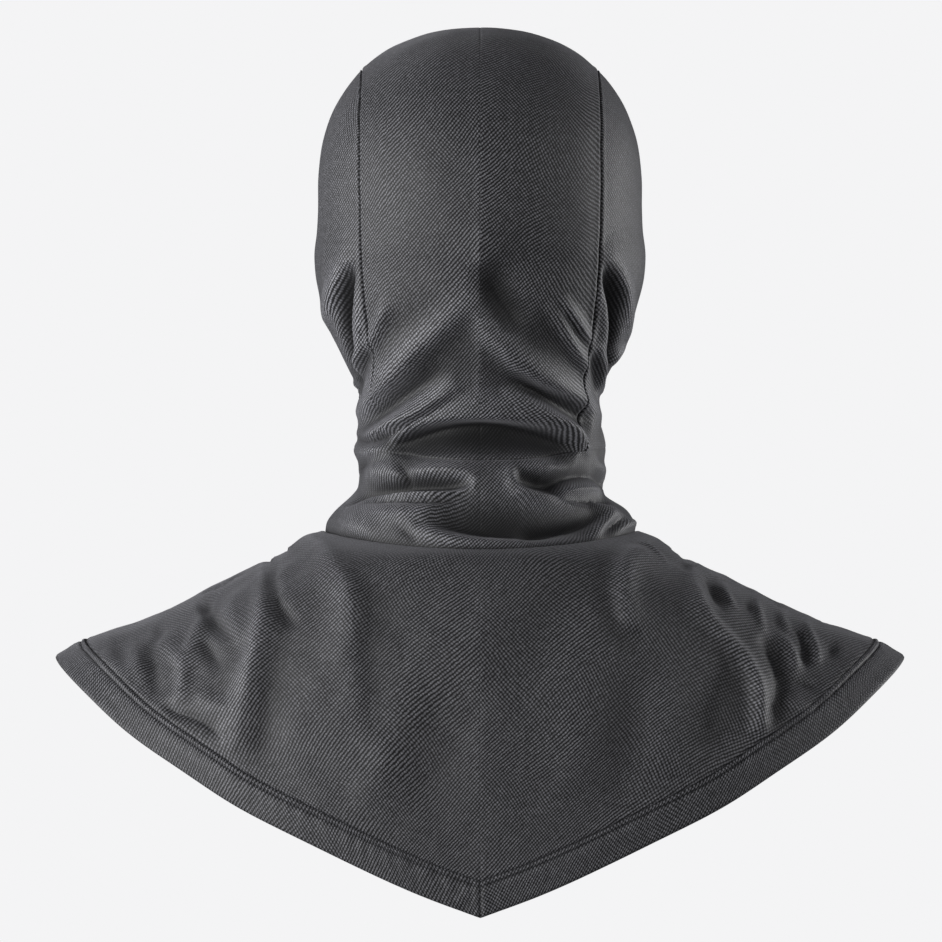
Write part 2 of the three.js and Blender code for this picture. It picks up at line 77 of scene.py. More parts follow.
# level, side, back, front, squareness
HOOD_LEVELS = (
    (0.0, 1.0, 1.0, 1.0, 2.25),
    (0.11, 1.006, 0.99, 1.0, 2.25),
    (0.18, 1.024, 0.965, 1.0, 2.25),
    (0.23, 1.018, 0.94, 1.0, 2.2),
    (0.315, 0.975, 0.905, 1.0, 2.2),
    (0.38, 0.929, 0.86, 1.01, 2.2),
    (0.45, 0.858, 0.81, 1.03, 2.2),
    (0.52, 0.785, 0.755, 1.05, 2.15),
    (0.565, 0.733, 0.72, 1.06, 2.1),
    (0.62, 0.714, 0.7, 1.06, 2.1),
    (0.685, 0.752, 0.68, 1.05, 2.1),
    (0.72, 0.764, 0.68, 1.04, 2.1),
    (0.785, 0.749, 0.73, 0.94, 2.1),
    (0.85, 0.759, 0.79, 0.72, 2.1),
    (0.886, 0.879, 0.835, 0.67, 2.1),
    (0.92, 0.939, 0.88, 0.645, 2.1),
    (0.965, 0.961, 0.92, 0.64, 2.1),
    (1.0, 0.964, 0.93, 0.65, 2.1),
    (1.18, 0.98, 0.95, 0.8, 2.1),
)
# level, half width as a share
STRIP_TAPER = ((0.0, 1.0), (0.2, 0.985), (0.4, 0.93), (0.55, 0.85), (0.75, 0.86))
FACE_EDGE = ((0.0, 1.0), (0.12, 1.09), (0.25, 1.1), (0.45, 1.0), (0.6, 0.86), (0.85, 0.68))
# out, side reach, side fall, back reach, back fall
CAPE_PROFILE = (
    (0.0, 0.0, 0.0, 0.0, 0.0),
    (0.07, 0.09, 0.07, 0.26, 0.02),
    (0.15, 0.16, 0.2, 0.48, 0.09),
    (0.35, 0.36, 0.4, 0.8, 0.31),
    (0.65, 0.67, 0.71, 0.97, 0.63),
    (0.88, 0.91, 0.895, 1.0, 0.875),
    (1.0, 1.0, 1.0, 1.0, 1.0),
)
# across, fall
HEM_LINE = (
    (0.0, 1.0),
    (0.14, 0.908),
    (0.41, 0.688),
    (0.55, 0.567),
    (0.68, 0.425),
    (0.81, 0.278),
    (0.92, 0.118),
    (1.0, 0.0),
)

# The camera stands level behind the object. A pixel is PIXEL across in the plane of the head's middle.
CAMERA = (4.6, 2500.0, -226.0)
PIXEL = 0.515
IMAGE_SIZE = 942
IMAGE_MIDDLE = IMAGE_SIZE / 2
# Pixels: the centre seam's column, the rows over which a fold covers the left seam, the nape seam's middle,
# and how far to either side of it the folds take that seam up
CENTRE_COLUMN = 480
LEFT_SEAM_COVERED = (378, 392)
NAPE_SEAM_MIDDLE = 486
NAPE_SEAM_COVERED = (82, 94)

# Folds seen in the photograph. Each has stations (image x, image y, rise) and its width on the right and on
# the left of someone walking along it in the image. A fold marked SHARP has a cusp for its profile.
SHARP = True
HOOD_FOLDS = (
    # left ear and jaw
    (((356, 252, 0), (348, 267, 2.5), (338, 287, 3.4), (330, 312, 2.4), (326, 330, 0.8)), 8, 4),
    (((355, 262, 0), (352, 285, -6), (349, 310, -11), (350, 332, -13), (354, 352, -11), (358, 372, -8),
      (361, 392, 0)), 7, 2.5),
    (((358, 275, 0), (360, 305, 1.5), (361, 330, 2), (361, 352, 1.5), (360, 368, 0)), 2.5, 4),
    (((372, 339, 0), (365, 349, 2), (360, 362, 3), (358, 380, 3), (361, 397, 1.5), (364, 408, 0)), 3, 3.5),
    (((375, 345, 0), (369, 356, -2.5), (364, 372, -3), (363, 390, -2), (366, 402, 0)), 3.5, 3.5),
    (((391, 298, 0), (386, 308, 1.8), (380, 322, 2.2), (374, 338, 1.8), (371, 345, 0)), 3, 4),
    # left of the nape
    (((477, 290, 0), (458, 311, 2), (440, 327, 4), (420, 345, 5.5), (402, 365, 6), (386, 384, 5.5),
      (373, 402, 5), (364, 415, 3), (360, 424, 0)), 8, 6),
    (((446, 366, 0), (428, 382, -2.5), (405, 400, -4), (385, 416, -4), (370, 428, -2.5),
      (362, 433, 0)), 5, 5),
    (((466, 378, 0), (448, 391, 3), (428, 406, 5), (404, 421, 5.5), (384, 431, 5), (370, 435, 3.5),
      (361, 433, 1)), 9, 3),
    (((455, 398, 0), (432, 413, -2), (410, 426, -3.5), (390, 436, -4), (372, 442, -3.5),
      (360, 440, -1)), 1.8, 1.8, SHARP),
    (((354, 449, 0.4), (368, 451, 2.6), (382, 450, 2.5), (393, 449, 0)), 4, 4),
    # pocket over the nape seam, and the roll above it
    (((392, 452, 0), (402, 443, -5), (420, 434, -9), (445, 429, -11), (480, 427, -12), (515, 429, -11.5),
      (545, 434, -10), (562, 441, -7), (575, 452, 0)), 13, 2.8),
    (((385, 443, 0), (406, 430, 3), (430, 421, 2.6), (460, 417, 1.4), (510, 417, 1.4), (545, 423, 2.8),
      (566, 434, 3.2), (580, 444, 0)), 3.5, 8),
    # right ear and jaw
    (((600, 246, 0), (610, 265, 2.5), (620, 283, 3.2), (625, 303, 2.6), (626, 320, 2.2), (623, 338, 1.8),
      (614, 354, 2.5), (605, 372, 2), (601, 385, 0)), 4, 8),
    (((603, 262, 0), (606, 285, -6), (610, 308, -11), (611, 330, -13), (608, 350, -11), (604, 370, -8),
      (600, 390, 0)), 2.5, 7),
    (((595, 282, 0), (600, 300, 1.8), (602, 325, 2), (600, 345, 1.5), (598, 352, 0)), 4, 2.5),
    (((590, 343, 0), (597, 352, 2.5), (601, 365, 3), (600, 382, 2.5), (597, 395, 0)), 3.5, 3),
    (((589, 350, 0), (592, 362, -2.5), (594, 378, -3), (592, 392, -1.5), (590, 400, 0)), 3.5, 3.5),
    # right of the nape
    (((481, 292, 0), (487, 315, 2.5), (500, 338, 4.5), (518, 358, 5.5), (540, 375, 5.5), (560, 391, 5),
      (578, 402, 4), (592, 413, 2.5), (600, 424, 0)), 7, 8),
    (((558, 292, 0), (563, 302, 2), (572, 315, 3), (581, 330, 3), (589, 343, 0)), 2.5, 3),
    (((546, 300, 0), (552, 311, 2.2), (561, 327, 3), (571, 345, 3), (581, 361, 2.5),
      (588, 374, 0)), 3, 3.5),
    (((505, 372, 0), (526, 385, -5), (547, 397, -7.5), (566, 408, -7.5), (580, 417, -4.5),
      (588, 426, 0)), 6, 5),
    (((498, 384, 0), (513, 394, 3), (528, 404, 4.5), (546, 415, 5.5), (562, 426, 5), (575, 438, 4),
      (584, 450, 1.5), (588, 458, 0)), 3.5, 5),
    (((600, 404, 0), (601, 420, 0.8), (602, 440, 1), (603, 455, 0.8), (604, 468, 0)), 7, 7),
    # crease along the centre seam
    (((480, 70, 0), (480, 100, 0.8), (480, 160, 1.2), (480, 220, 1.4), (480, 250, 1),
      (480, 275, 0)), 12, 12, SHARP),
    (((480, 215, 0), (480, 240, 1.6), (480, 265, 2.6), (480, 290, 2.6), (480, 310, 1.4),
      (480, 330, 0)), 14, 6, SHARP),
    (((480, 315, 0), (480, 340, 1.8), (480, 365, 2), (480, 390, 1.6), (480, 412, 0)), 10, 8, SHARP),
    (((484, 258, 0), (489, 280, -4.5), (497, 300, -6.5), (509, 318, -5), (521, 333, 0)), 7, 9),
    # gaiter, left
    (((352, 467, -1), (360, 468, -2.6), (367, 465, -2), (374, 462, 0)), 2.2, 2.2, SHARP),
    (((364, 474, 0), (376, 472, 2.6), (390, 471, 2.6), (400, 477, 1.6), (405, 483, 0)), 5, 5),
    (((397, 461, 0), (403, 468, -2), (407, 476, -2.6), (408, 484, 0)), 1.8, 1.8, SHARP),
    (((348, 508, 0), (360, 503, -3), (377, 496, -4.6), (396, 490, -7), (416, 486, -8), (436, 485, -8),
      (454, 485, -6), (466, 485, -3), (474, 486, 0)), 4.2, 4.6),
    (((408, 472, 0), (426, 470, 2), (448, 471, 2.8), (465, 474, 2.8), (476, 481, 1.6),
      (479, 489, 0)), 3.5, 3.5),
    (((358, 504, 0), (374, 502, 2), (392, 499, 3.2), (415, 497, 4.2), (440, 495, 4.2), (460, 492, 3.2),
      (474, 488, 1.6), (480, 482, 0)), 2.5, 3.2),
    (((362, 508, 0), (385, 505, -3), (410, 503, -4), (435, 501, -4), (455, 497, -3), (470, 492, -1.6),
      (481, 485, 0)), 2, 2, SHARP),
    (((340, 514, 0), (352, 512, 1.6), (375, 512, 2.8), (405, 514, 3.2), (428, 520, 1.6),
      (446, 526, 0)), 8, 8),
    (((340, 528, 0), (352, 527, 1.8), (368, 531, 2.2), (382, 538, 0)), 5, 5),
    (((394, 522, 0), (408, 533, -2), (423, 544, 0)), 2.4, 2.4, SHARP),
    (((410, 516, 0), (420, 524, -1.6), (432, 531, 0)), 2.4, 2.4, SHARP),
    (((422, 518, 0), (446, 525, -5), (478, 531, -8), (515, 533, -9), (550, 530, -8.6), (580, 524, -6),
      (604, 514, 0)), 3.5, 15),
    (((405, 524, 0), (428, 534, 1.8), (460, 541, 2.4), (500, 542, 2), (524, 538, 0)), 4, 4),
    # gaiter, right
    (((510, 478, 0), (521, 478, -5), (536, 481, -7.6), (550, 483, -7.2), (562, 481, -4.4),
      (574, 478, -2.4), (588, 476, 0)), 5, 5.5),
    (((518, 465, 0), (512, 472, 2.4), (513, 483, 3.8), (521, 492, 4.4), (535, 497, 4.6), (552, 500, 3.6),
      (570, 503, 2.2), (590, 506, 0)), 4, 3),
    (((520, 466, 0), (540, 465, 2), (560, 467, 1.6), (576, 471, 0)), 3.5, 3.5),
    (((556, 494, 0), (566, 491, 4), (580, 490, 4.5), (592, 491, 3.4), (600, 494, 0)), 4.5, 4.5),
    (((553, 493, 0), (558, 484, -2), (569, 478, -3), (585, 477, -3.4), (598, 483, -2.8),
      (602, 492, -1.4), (603, 498, 0)), 3.4, 3.4, SHARP),
    (((589, 462, 0), (596, 467, 2.4), (602, 476, 2.6), (605, 488, 1.6), (606, 498, 0)), 4, 4),
    (((548, 501, 0), (565, 500, -2.6), (585, 501, -3), (600, 503, -3), (611, 507, 0)), 2.4, 2.4, SHARP),
    (((524, 544, 0), (537, 537, -4), (560, 532, -5.4), (584, 526, -5), (598, 518, -3),
      (606, 511, 0)), 7, 6),
    (((590, 505, 0), (602, 510, 1.8), (616, 517, 2.4), (630, 526, 1.6), (636, 532, 0)), 5, 5),
    (((589, 538, 0), (597, 529, 3), (605, 521, 3.4), (615, 514, 0)), 3, 3),
    (((600, 536, 0), (609, 528, -3), (618, 521, -2.6), (627, 518, 0)), 2.4, 2.4, SHARP),
    (((610, 536, 0), (619, 529, 2.4), (627, 526, 2.2), (632, 530, 0)), 2.4, 2.4),
)
CAPE_FOLDS = (
    # left
    (((284, 546, 0), (277, 557, 1.4), (270, 571, 3.4), (264, 592, 4.6), (259, 615, 5.2), (255, 640, 5),
      (250, 662, 5), (243, 688, 5), (236, 712, 4.4), (230, 738, 3), (222, 757, 0)), 9, 8),
    (((262, 615, 0), (257, 642, 2), (250, 670, 2), (242, 700, 0)), 5, 5),
    (((274, 672, 0), (273, 688, -1.2), (270, 710, -1.8), (267, 735, -1.8), (262, 755, -1),
      (258, 768, 0)), 6, 9),
    (((298, 543, 0), (289, 555, -3), (281, 570, -5), (277, 590, -5.5), (280, 607, -5), (288, 620, -3.5),
      (298, 630, 0)), 5, 3.5),
    (((316, 538, 1), (328, 556, 3.5), (342, 578, 4.6), (350, 598, 4.8), (352, 618, 4), (352, 642, 3),
      (354, 670, 2), (357, 705, 1.2), (360, 740, 0)), 11, 5),
    (((246, 575, 0), (230, 586, -2.4), (214, 598, -3.6), (208, 608, -4), (213, 621, -3.6),
      (223, 632, -2.6), (234, 640, 0)), 3.5, 3.5),
    (((238, 590, 0), (228, 603, 2.4), (232, 618, 2.6), (240, 634, 1.6), (243, 648, 0)), 6, 6),
    (((200, 636, 0), (208, 648, -2.2), (216, 660, -2.6), (223, 674, 0)), 3.5, 4),
    (((193, 599, 0), (180, 613, -2), (167, 627, -2.4), (157, 643, -1.6), (152, 655, 0)), 4, 4),
    (((205, 608, 0), (196, 626, 2.2), (190, 644, 2.2), (192, 660, 1.2), (197, 672, 0)), 5, 5),
    (((160, 636, 0), (170, 648, 2.2), (179, 660, 3), (180, 678, 3.2), (177, 694, 3),
      (172, 707, 0)), 4.5, 4.5),
    (((163, 704, 0), (172, 711, -2.6), (186, 716, -3), (200, 721, -2.6), (214, 730, -2.4),
      (224, 742, 0)), 3, 3, SHARP),
    (((196, 690, 0), (204, 700, 2), (216, 706, 2.4), (226, 712, 1), (232, 718, 0)), 5, 5),
    (((128, 646, 0), (134, 657, 1.8), (140, 670, 1.6), (143, 686, 0)), 4.5, 4.5),
    (((143, 634, 0), (147, 650, -1.6), (153, 668, -2), (157, 688, -1.6), (160, 700, 0)), 4, 4),
    (((94, 654, 0), (112, 660, 1.6), (124, 668, 1.6), (134, 680, 0)), 5, 5),
    (((108, 640, 0), (118, 650, -1.4), (126, 662, -1.4), (130, 676, 0)), 4, 4),
    # right
    (((626, 533, 0), (641, 540, 1.6), (655, 548, 1.8), (662, 556, 1.2), (666, 564, 0)), 3.5, 3.5),
    (((662, 543, 0), (670, 552, -2.4), (677, 563, -3), (686, 574, 0)), 3, 3),
    (((650, 545, 0), (638, 549, 2.6), (628, 559, 4.4), (623, 576, 5), (623, 594, 5), (626, 610, 4.2),
      (632, 622, 2.8), (640, 634, 0)), 5, 9),
    (((616, 566, 0), (613, 590, -2), (616, 612, -2.6), (624, 630, -2.6), (636, 642, -1.6),
      (648, 648, 0)), 8, 5),
    (((688, 563, 0), (694, 573, 1.8), (698, 586, 3), (703, 600, 3.4), (712, 616, 3.4), (724, 631, 3.6),
      (738, 645, 4.2), (751, 662, 5), (760, 682, 5.2), (763, 704, 5), (762, 724, 4), (765, 742, 0)), 5, 5),
    (((712, 640, 0), (726, 652, -1.6), (738, 668, -2.6), (743, 690, -2.6), (742, 714, -2),
      (738, 735, 0)), 7, 5),
    (((738, 664, 0), (729, 685, -2.2), (720, 710, -3), (714, 735, -3), (708, 758, 0)), 8, 8),
    (((702, 575, 0), (708, 585, -2), (714, 600, -2.6), (722, 613, 0)), 3, 3.5),
    (((690, 592, 0), (692, 604, 1.8), (698, 618, 1.4), (702, 628, 0)), 4, 4),
    (((718, 578, 0), (725, 587, 1.4), (731, 598, 1.8), (736, 612, 0)), 3, 3),
    (((728, 580, 0), (736, 589, -1.8), (744, 600, -2.4), (748, 614, 0)), 2.8, 2.8),
    (((742, 583, 0), (750, 592, 1.4), (758, 604, 2.2), (762, 620, 1.6), (764, 634, 0)), 3, 3),
    (((756, 590, 0), (765, 600, -1.6), (773, 612, -2.4), (776, 628, 0)), 3, 3),
    (((772, 600, 0), (780, 609, 1.2), (786, 622, 1.6), (788, 636, 0)), 3, 3),
    (((757, 636, 0), (767, 650, -2.8), (776, 668, -3.4), (779, 690, -3), (778, 712, -2),
      (780, 730, 0)), 4.5, 5),
    (((781, 632, 0), (789, 642, 2.6), (795, 655, 3.2), (795, 668, 2), (790, 680, 0)), 4, 4),
    (((793, 628, 0), (801, 640, -2.4), (805, 654, -2.8), (805, 670, 0)), 3.5, 3.5),
    (((800, 614, 0), (807, 625, 1.6), (814, 638, 2.8), (817, 652, 2.8), (813, 668, 0)), 3.2, 3.2),
    (((815, 622, 0), (822, 632, -1.6), (829, 648, -2.4), (832, 664, 0)), 3.2, 3.2),
    (((782, 690, 0), (792, 700, 1.8), (804, 706, 1.8), (816, 706, 0)), 4, 4),
    (((840, 638, 0), (850, 648, 1.6), (862, 656, 1.8), (872, 656, 0)), 3.2, 3.2),
    (((786, 676, 0), (798, 684, -2.2), (812, 688, -2.4), (826, 686, 0)), 3.5, 3.5, SHARP),
    # long soft bands beside the spine
    (((366, 580, 0), (368, 630, -1.8), (372, 690, -1.8), (384, 750, 0)), 12, 26),
    (((452, 670, 0), (442, 720, -1.8), (432, 775, -2), (418, 830, 0)), 18, 18),
    (((404, 680, 0), (392, 735, 1.4), (378, 785, 1.4), (364, 815, 0)), 14, 14),
    (((600, 548, 0), (570, 580, -2.4), (540, 620, -2.8), (512, 665, -1.6), (500, 700, 0)), 16, 16),
    (((596, 650, 0), (584, 700, 2), (578, 750, 1.8), (576, 800, 0)), 18, 18),
    (((642, 640, 0), (632, 690, -2.2), (622, 740, -2.6), (612, 790, -1.8), (606, 815, 0)), 14, 12),
    (((672, 660, 0), (668, 700, 1.8), (666, 750, 1.6), (664, 780, 0)), 12, 12),
    # crease along the spine
    (((480, 560, 0), (480, 590, 1.6), (480, 650, 1.6), (480, 720, 1.2), (480, 800, 1),
      (480, 860, 0)), 14, 14, SHARP),
)
CAPE_FOLD_DEPTH = 0.85
# Folds of the cape's sides and front, out of the photograph's sight. Stations: turn in degrees, out, rise.
HIDDEN_FOLDS = (
    (((96, 0.1, 0), (100, 0.3, 1.8), (106, 0.6, 2.2), (110, 0.9, 0)), 9, 9),
    (((112, 0.12, 0), (120, 0.35, 2.6), (127, 0.6, 2.8), (131, 0.88, 0)), 12, 10),
    (((126, 0.15, 0), (134, 0.4, -2.2), (141, 0.7, -2), (145, 0.9, 0)), 10, 10),
    (((138, 0.08, 0), (146, 0.3, 2), (153, 0.6, 2.2), (157, 0.88, 0)), 9, 10),
    (((152, 0.1, 0), (158, 0.35, -2), (165, 0.65, -1.6), (168, 0.85, 0)), 10, 10),
    (((-96, 0.12, 0), (-102, 0.35, 2), (-107, 0.62, 2), (-110, 0.88, 0)), 9, 9),
    (((-112, 0.1, 0), (-121, 0.32, 2.4), (-126, 0.58, 2.9), (-132, 0.9, 0)), 11, 12),
    (((-127, 0.15, 0), (-135, 0.42, -2.4), (-140, 0.7, -1.8), (-146, 0.9, 0)), 10, 10),
    (((-140, 0.1, 0), (-147, 0.33, 2.2), (-152, 0.6, 1.9), (-158, 0.86, 0)), 10, 9),
    (((-154, 0.1, 0), (-160, 0.38, -1.8), (-164, 0.62, -1.8), (-169, 0.85, 0)), 10, 10),
)

HANDS = {"left": 1, "right": -1}


def smoothstep(value, low, high):
    t = np.clip((value - low) / (high - low), 0, 1)
    return t * t * (3 - 2 * t)


def signed_power(value, power):
    return np.sign(value) * np.abs(value) ** power


def bell(distance, width):
    return np.exp(-((distance / width) ** 2))


def curve_through(table, column, soft, straight_ends=False):
    """A smooth curve through a table's rows, rounded over a length of soft so that light runs on evenly."""
    at = np.array([row[0] for row in table])
    value = np.array([row[column] for row in table])
    steps = np.diff(at)
    rates = np.diff(value) / steps
    before = np.concatenate([rates[:1], rates])
    after = np.concatenate([rates, rates[-1:]])
    total = np.where(before * after > 0, before + after, 1)
    slopes = np.where(before * after > 0, 2 * before * after / total, 0)
    fine = np.linspace(at[0] - 4 * soft, at[-1] + 4 * soft, 6001)
    i = np.clip(np.searchsorted(at, fine, side="right") - 1, 0, len(steps) - 1)
    t = np.clip((fine - at[i]) / steps[i], 0, 1)
    rest = 1 - t
    made = value[i] * rest * rest * (1 + 2 * t) + value[i + 1] * t * t * (3 - 2 * t)
    made += steps[i] * (slopes[i] * t * rest * rest - slopes[i + 1] * t * t * rest)
    if straight_ends:
        made += np.minimum(fine - at[0], 0) * slopes[0] + np.maximum(fine - at[-1], 0) * slopes[-1]
    reach = int(3 * soft / (fine[1] - fine[0]))
    kernel = bell(np.arange(-reach, reach + 1), reach / 2.1)
    kernel /= kernel.sum()
    padded = np.concatenate([np.full(reach, made[0]), made, np.full(reach, made[-1])])
    smooth = np.convolve(padded, kernel, "valid")
    return lambda x: np.interp(x, fine, smooth)


def around_turn(turn, back, side, front):
    c = np.cos(turn)
    return side + (np.where(c > 0, back, front) - side) * c * c


side_share, back_share, front_share, squareness = (curve_through(HOOD_LEVELS, c, 0.014) for c in (1, 2, 3, 4))
strip_share = curve_through(STRIP_TAPER, 1, 0.02)
face_share = curve_through(FACE_EDGE, 1, 0.02)
cape_shares = [curve_through(CAPE_PROFILE, c, 0.02, True) for c in (1, 2, 3, 4)]
hem_fall = curve_through(HEM_LINE, 1, 0.02, True)


def level_of(drop):
    return (drop - WIDEST_DROP) / (COLLAR_DROP - WIDEST_DROP)


def hood_section(drop):
    """Half width, reach back, reach forward and squareness of the hood's level section at a drop."""
    n = DOME_SQUARENESS
    rise = np.clip((WIDEST_DROP - drop) / WIDEST_DROP, 0, 1)
    scale = (1 - rise**n) ** (1 / n)
    level = level_of(drop)
    return (
        HEAD_HALF_WIDTH * side_share(level) * scale,
        HEAD_BACK * back_share(level) * scale,
        HEAD_FRONT * front_share(level) * scale,
        squareness(level),
    )


def hood_point(turn, drop):
    side, back, front, square = hood_section(drop)
    x = side * signed_power(np.sin(turn), 2 / square)
    y = np.where(np.cos(turn) > 0, back, front) * signed_power(np.cos(turn), 2 / square)
    return np.stack([x, y, -drop + 0 * x], axis=-1)


def turn_at(x, drop):
    side, _, _, square = hood_section(drop)
    return np.arcsin(np.minimum(np.abs(x) / side, 1) ** (square / 2)) * np.sign(x)


def dome_point(angle, x):
    n = DOME_SQUARENESS
    reach = np.where(np.cos(angle) > 0, HEAD_BACK, HEAD_FRONT)
    spread = np.abs(np.cos(angle) / reach) ** n + np.abs(np.sin(angle) / WIDEST_DROP) ** n
    radius = ((1 - np.abs(x / HEAD_HALF_WIDTH) ** n) / spread) ** (1 / n)
    return np.stack([x + 0 * radius, radius * np.cos(angle), radius * np.sin(angle) - WIDEST_DROP], axis=-1)


def hood_value(point):
    x, y, z = point[..., 0], point[..., 1], point[..., 2]
    n = DOME_SQUARENESS
    side, back, front, square = hood_section(np.maximum(-z, WIDEST_DROP))
    reach = np.where(y > 0, back, front)
    rise = np.maximum(z + WIDEST_DROP, 0) / WIDEST_DROP
    return np.abs(x / side) ** square + np.abs(y / reach) ** square + rise**n


def hood_out(point):
    """The smooth hood's outward direction."""
    step = 0.05
    slopes = [hood_value(point + step * axis) - hood_value(point - step * axis) for axis in np.eye(3)]
    slope = np.stack(slopes, axis=-1)
    return slope / np.linalg.norm(slope, axis=-1, keepdims=True)


def collar_drop(turn):
    return around_turn(turn, COLLAR_DROP, COLLAR_DROP - COLLAR_SIDE_RISE, COLLAR_DROP + COLLAR_FRONT_DIP)


def nape_drop(turn):
    seam = COLLAR_DROP - GAITER_HEIGHT
    return around_turn(turn, seam, seam - 0.13 * GAITER_HEIGHT, seam + 0.35 * GAITER_HEIGHT)


def cape_point(turn, out):
    seam = hood_point(turn, collar_drop(turn))
    level = seam * (1, 1, 0)
    seam = seam + CAPE_SET_OFF * level / np.linalg.norm(level, axis=-1, keepdims=True)
    at_back = np.cos(turn) > 0
    tip_drop = np.where(at_back, BACK_TIP_DROP, FRONT_TIP_DROP)
    reach = np.where(at_back, CAPE_BACK, CAPE_FRONT)
    across = signed_power(np.sin(turn), 2 / CAPE_SQUARENESS)
    along = signed_power(np.cos(turn), 2 / CAPE_SQUARENESS)
    fall = (tip_drop - SHOULDER_DROP) * hem_fall(np.abs(across))
    side_reach, side_fall, back_reach, back_fall = (curve(out) for curve in cape_shares)
    reached = around_turn(turn, back_reach, side_reach, back_reach)
    fallen = around_turn(turn, back_fall, side_fall, back_fall)
    x = seam[..., 0] + (CAPE_HALF_WIDTH * across - seam[..., 0]) * reached
    y = seam[..., 1] + (reach * along - seam[..., 1]) * reached
    z = seam[..., 2] + (-SHOULDER_DROP - fall - seam[..., 2]) * fallen
    return np.stack([x, y, z], axis=-1)


def cape_out(turn, out):
    """The smooth cape's outward direction."""
    step = 1e-3
    inner = np.clip(out, step, 1 - step)
    round_ = cape_point(turn + step, inner) - cape_point(turn - step, inner)
    down = cape_point(turn, inner + step) - cape_point(turn, inner - step)
    normal = np.cross(round_, down)
    return normal / np.linalg.norm(normal, axis=-1, keepdims=True)


def hem_share(turn):
    """The share of the cape's profile that the hem takes up at a turn."""
    step = 1e-3
    inward = np.where(np.abs(turn) > math.pi / 2, -step, step)
    edge = cape_point(turn, 1.0 + 0 * turn)
    down = (edge - cape_point(turn, 1 - step + 0 * turn)) / step
    round_ = cape_point(turn + inward * np.where(turn < 0, -1, 1), 1.0 + 0 * turn) - edge
    round_ /= np.linalg.norm(round_, axis=-1, keepdims=True)
    down -= round_ * np.sum(down * round_, axis=-1, keepdims=True)
    return HEM_WIDTH / np.linalg.norm(down, axis=-1)


SPLINE_PIECES = 6


def spline(stations):
    """Points along a smooth curve through stations."""
    p = np.array(stations, float)
    ends = np.concatenate([[2 * p[0] - p[1]], p, [2 * p[-1] - p[-2]]])
    made = []
    for a, b, c, d in zip(ends, ends[1:], ends[2:], ends[3:]):
        for t in np.arange(SPLINE_PIECES) / SPLINE_PIECES:
            bend = (2 * a - 5 * b + 4 * c - d) * t**2
            twist = (3 * b - a - 3 * c + d) * t**3
            made.append(0.5 * (2 * b + (c - a) * t + bend + twist))
    return np.array(made + [p[-1]])


def from_image(image_x, image_y, depth):
    """The point at a pixel and a depth y."""
    size = PIXEL * (CAMERA[1] - depth) / CAMERA[1]
    x = CAMERA[0] + (IMAGE_MIDDLE - image_x) * size
    return np.stack([x, depth, CAMERA[2] - (image_y - IMAGE_MIDDLE) * size], axis=-1)


def on_hood(image_x, image_y):
    """The hood's point at a pixel."""
    depth = np.full(len(image_x), 70.0)
    for _ in range(12):
        point = from_image(image_x, image_y, depth)
        side, back, _, square = hood_section(-point[:, 2])
        depth = back * (1 - np.minimum(np.abs(point[:, 0]) / side, 1) ** square) ** (1 / square)
    return from_image(image_x, image_y, depth)


def image_of(points):
    """The pixel that each point falls on."""
    size = PIXEL * (CAMERA[1] - points[..., 1]) / CAMERA[1]
    return (
        IMAGE_MIDDLE + (CAMERA[0] - points[..., 0]) / size,
        IMAGE_MIDDLE + (CAMERA[2] - points[..., 2]) / size,
    )


cape_turns, cape_outs = np.meshgrid(np.radians(np.linspace(-110, 110, 561)), np.linspace(0, 1, 251))
cape_cloud = cape_point(cape_turns, cape_outs).reshape(-1, 3)
cape_ways = cape_out(cape_turns, cape_outs).reshape(-1, 3)
cape_image = np.stack(image_of(cape_cloud), axis=-1)


def on_cape(image_x, image_y):
    """The cape's point at a pixel, and the way out there."""
    nearest = [np.argmin(np.sum((cape_image - pixel) ** 2, axis=1)) for pixel in zip(image_x, image_y)]
    line = cape_cloud[nearest]
    for _ in range(2):
        line[1:-1] = (line[:-2] + line[1:-1] + line[2:]) / 3
    return line, cape_ways[nearest]


def on_lifted_cape(image_x, image_y, rise):
    """The line on the smooth cape that stands on the pixels once it is lifted by its rises."""
    x, y = image_x, image_y
    line, out = on_cape(x, y)
    for _ in range(2):
        seen_x, seen_y = image_of(line + (CLOTH + rise)[:, None] * out)
        x = x + 0.8 * (image_x - seen_x)
        y = y + 0.8 * (image_y - seen_y)
        line, out = on_cape(x, y)
    return line


def fold_lines(rows, lay, depth=1.0):
    """Each fold as its line on the smooth form, its rises, its two widths and whether it is sharp."""
    made = []
    for stations, right, left, *kind in rows:
        first, second, rise = spline(stations).T
        rise = depth * rise
        made.append((lay(first, second, rise), rise, right, left, bool(kind)))
    return made


hood_folds = fold_lines(HOOD_FOLDS, lambda x, y, rise: on_hood(x, y))
cape_folds = fold_lines(CAPE_FOLDS, on_lifted_cape, CAPE_FOLD_DEPTH)
cape_folds += fold_lines(HIDDEN_FOLDS, lambda turn, out, rise: cape_point(np.radians(turn), out))


def widened(folds, spread):
    """Folds as they look averaged over a spread of cloth."""
    made = []
    for line, rises, right, left, sharp in folds:
        held = (right + left) * (2 / math.sqrt(math.pi) if sharp else 1)
        wide_right = math.hypot(right, spread)
        wide_left = math.hypot(left, spread)
        made.append((line, rises * held / (wide_right + wide_left), wide_right, wide_left, False))
    return made


HOOD_SPREAD = 20.0
CAPE_SPREAD = 16.0
wide_hood_folds = widened(hood_folds, HOOD_SPREAD)
wide_cape_folds = widened(cape_folds, CAPE_SPREAD)


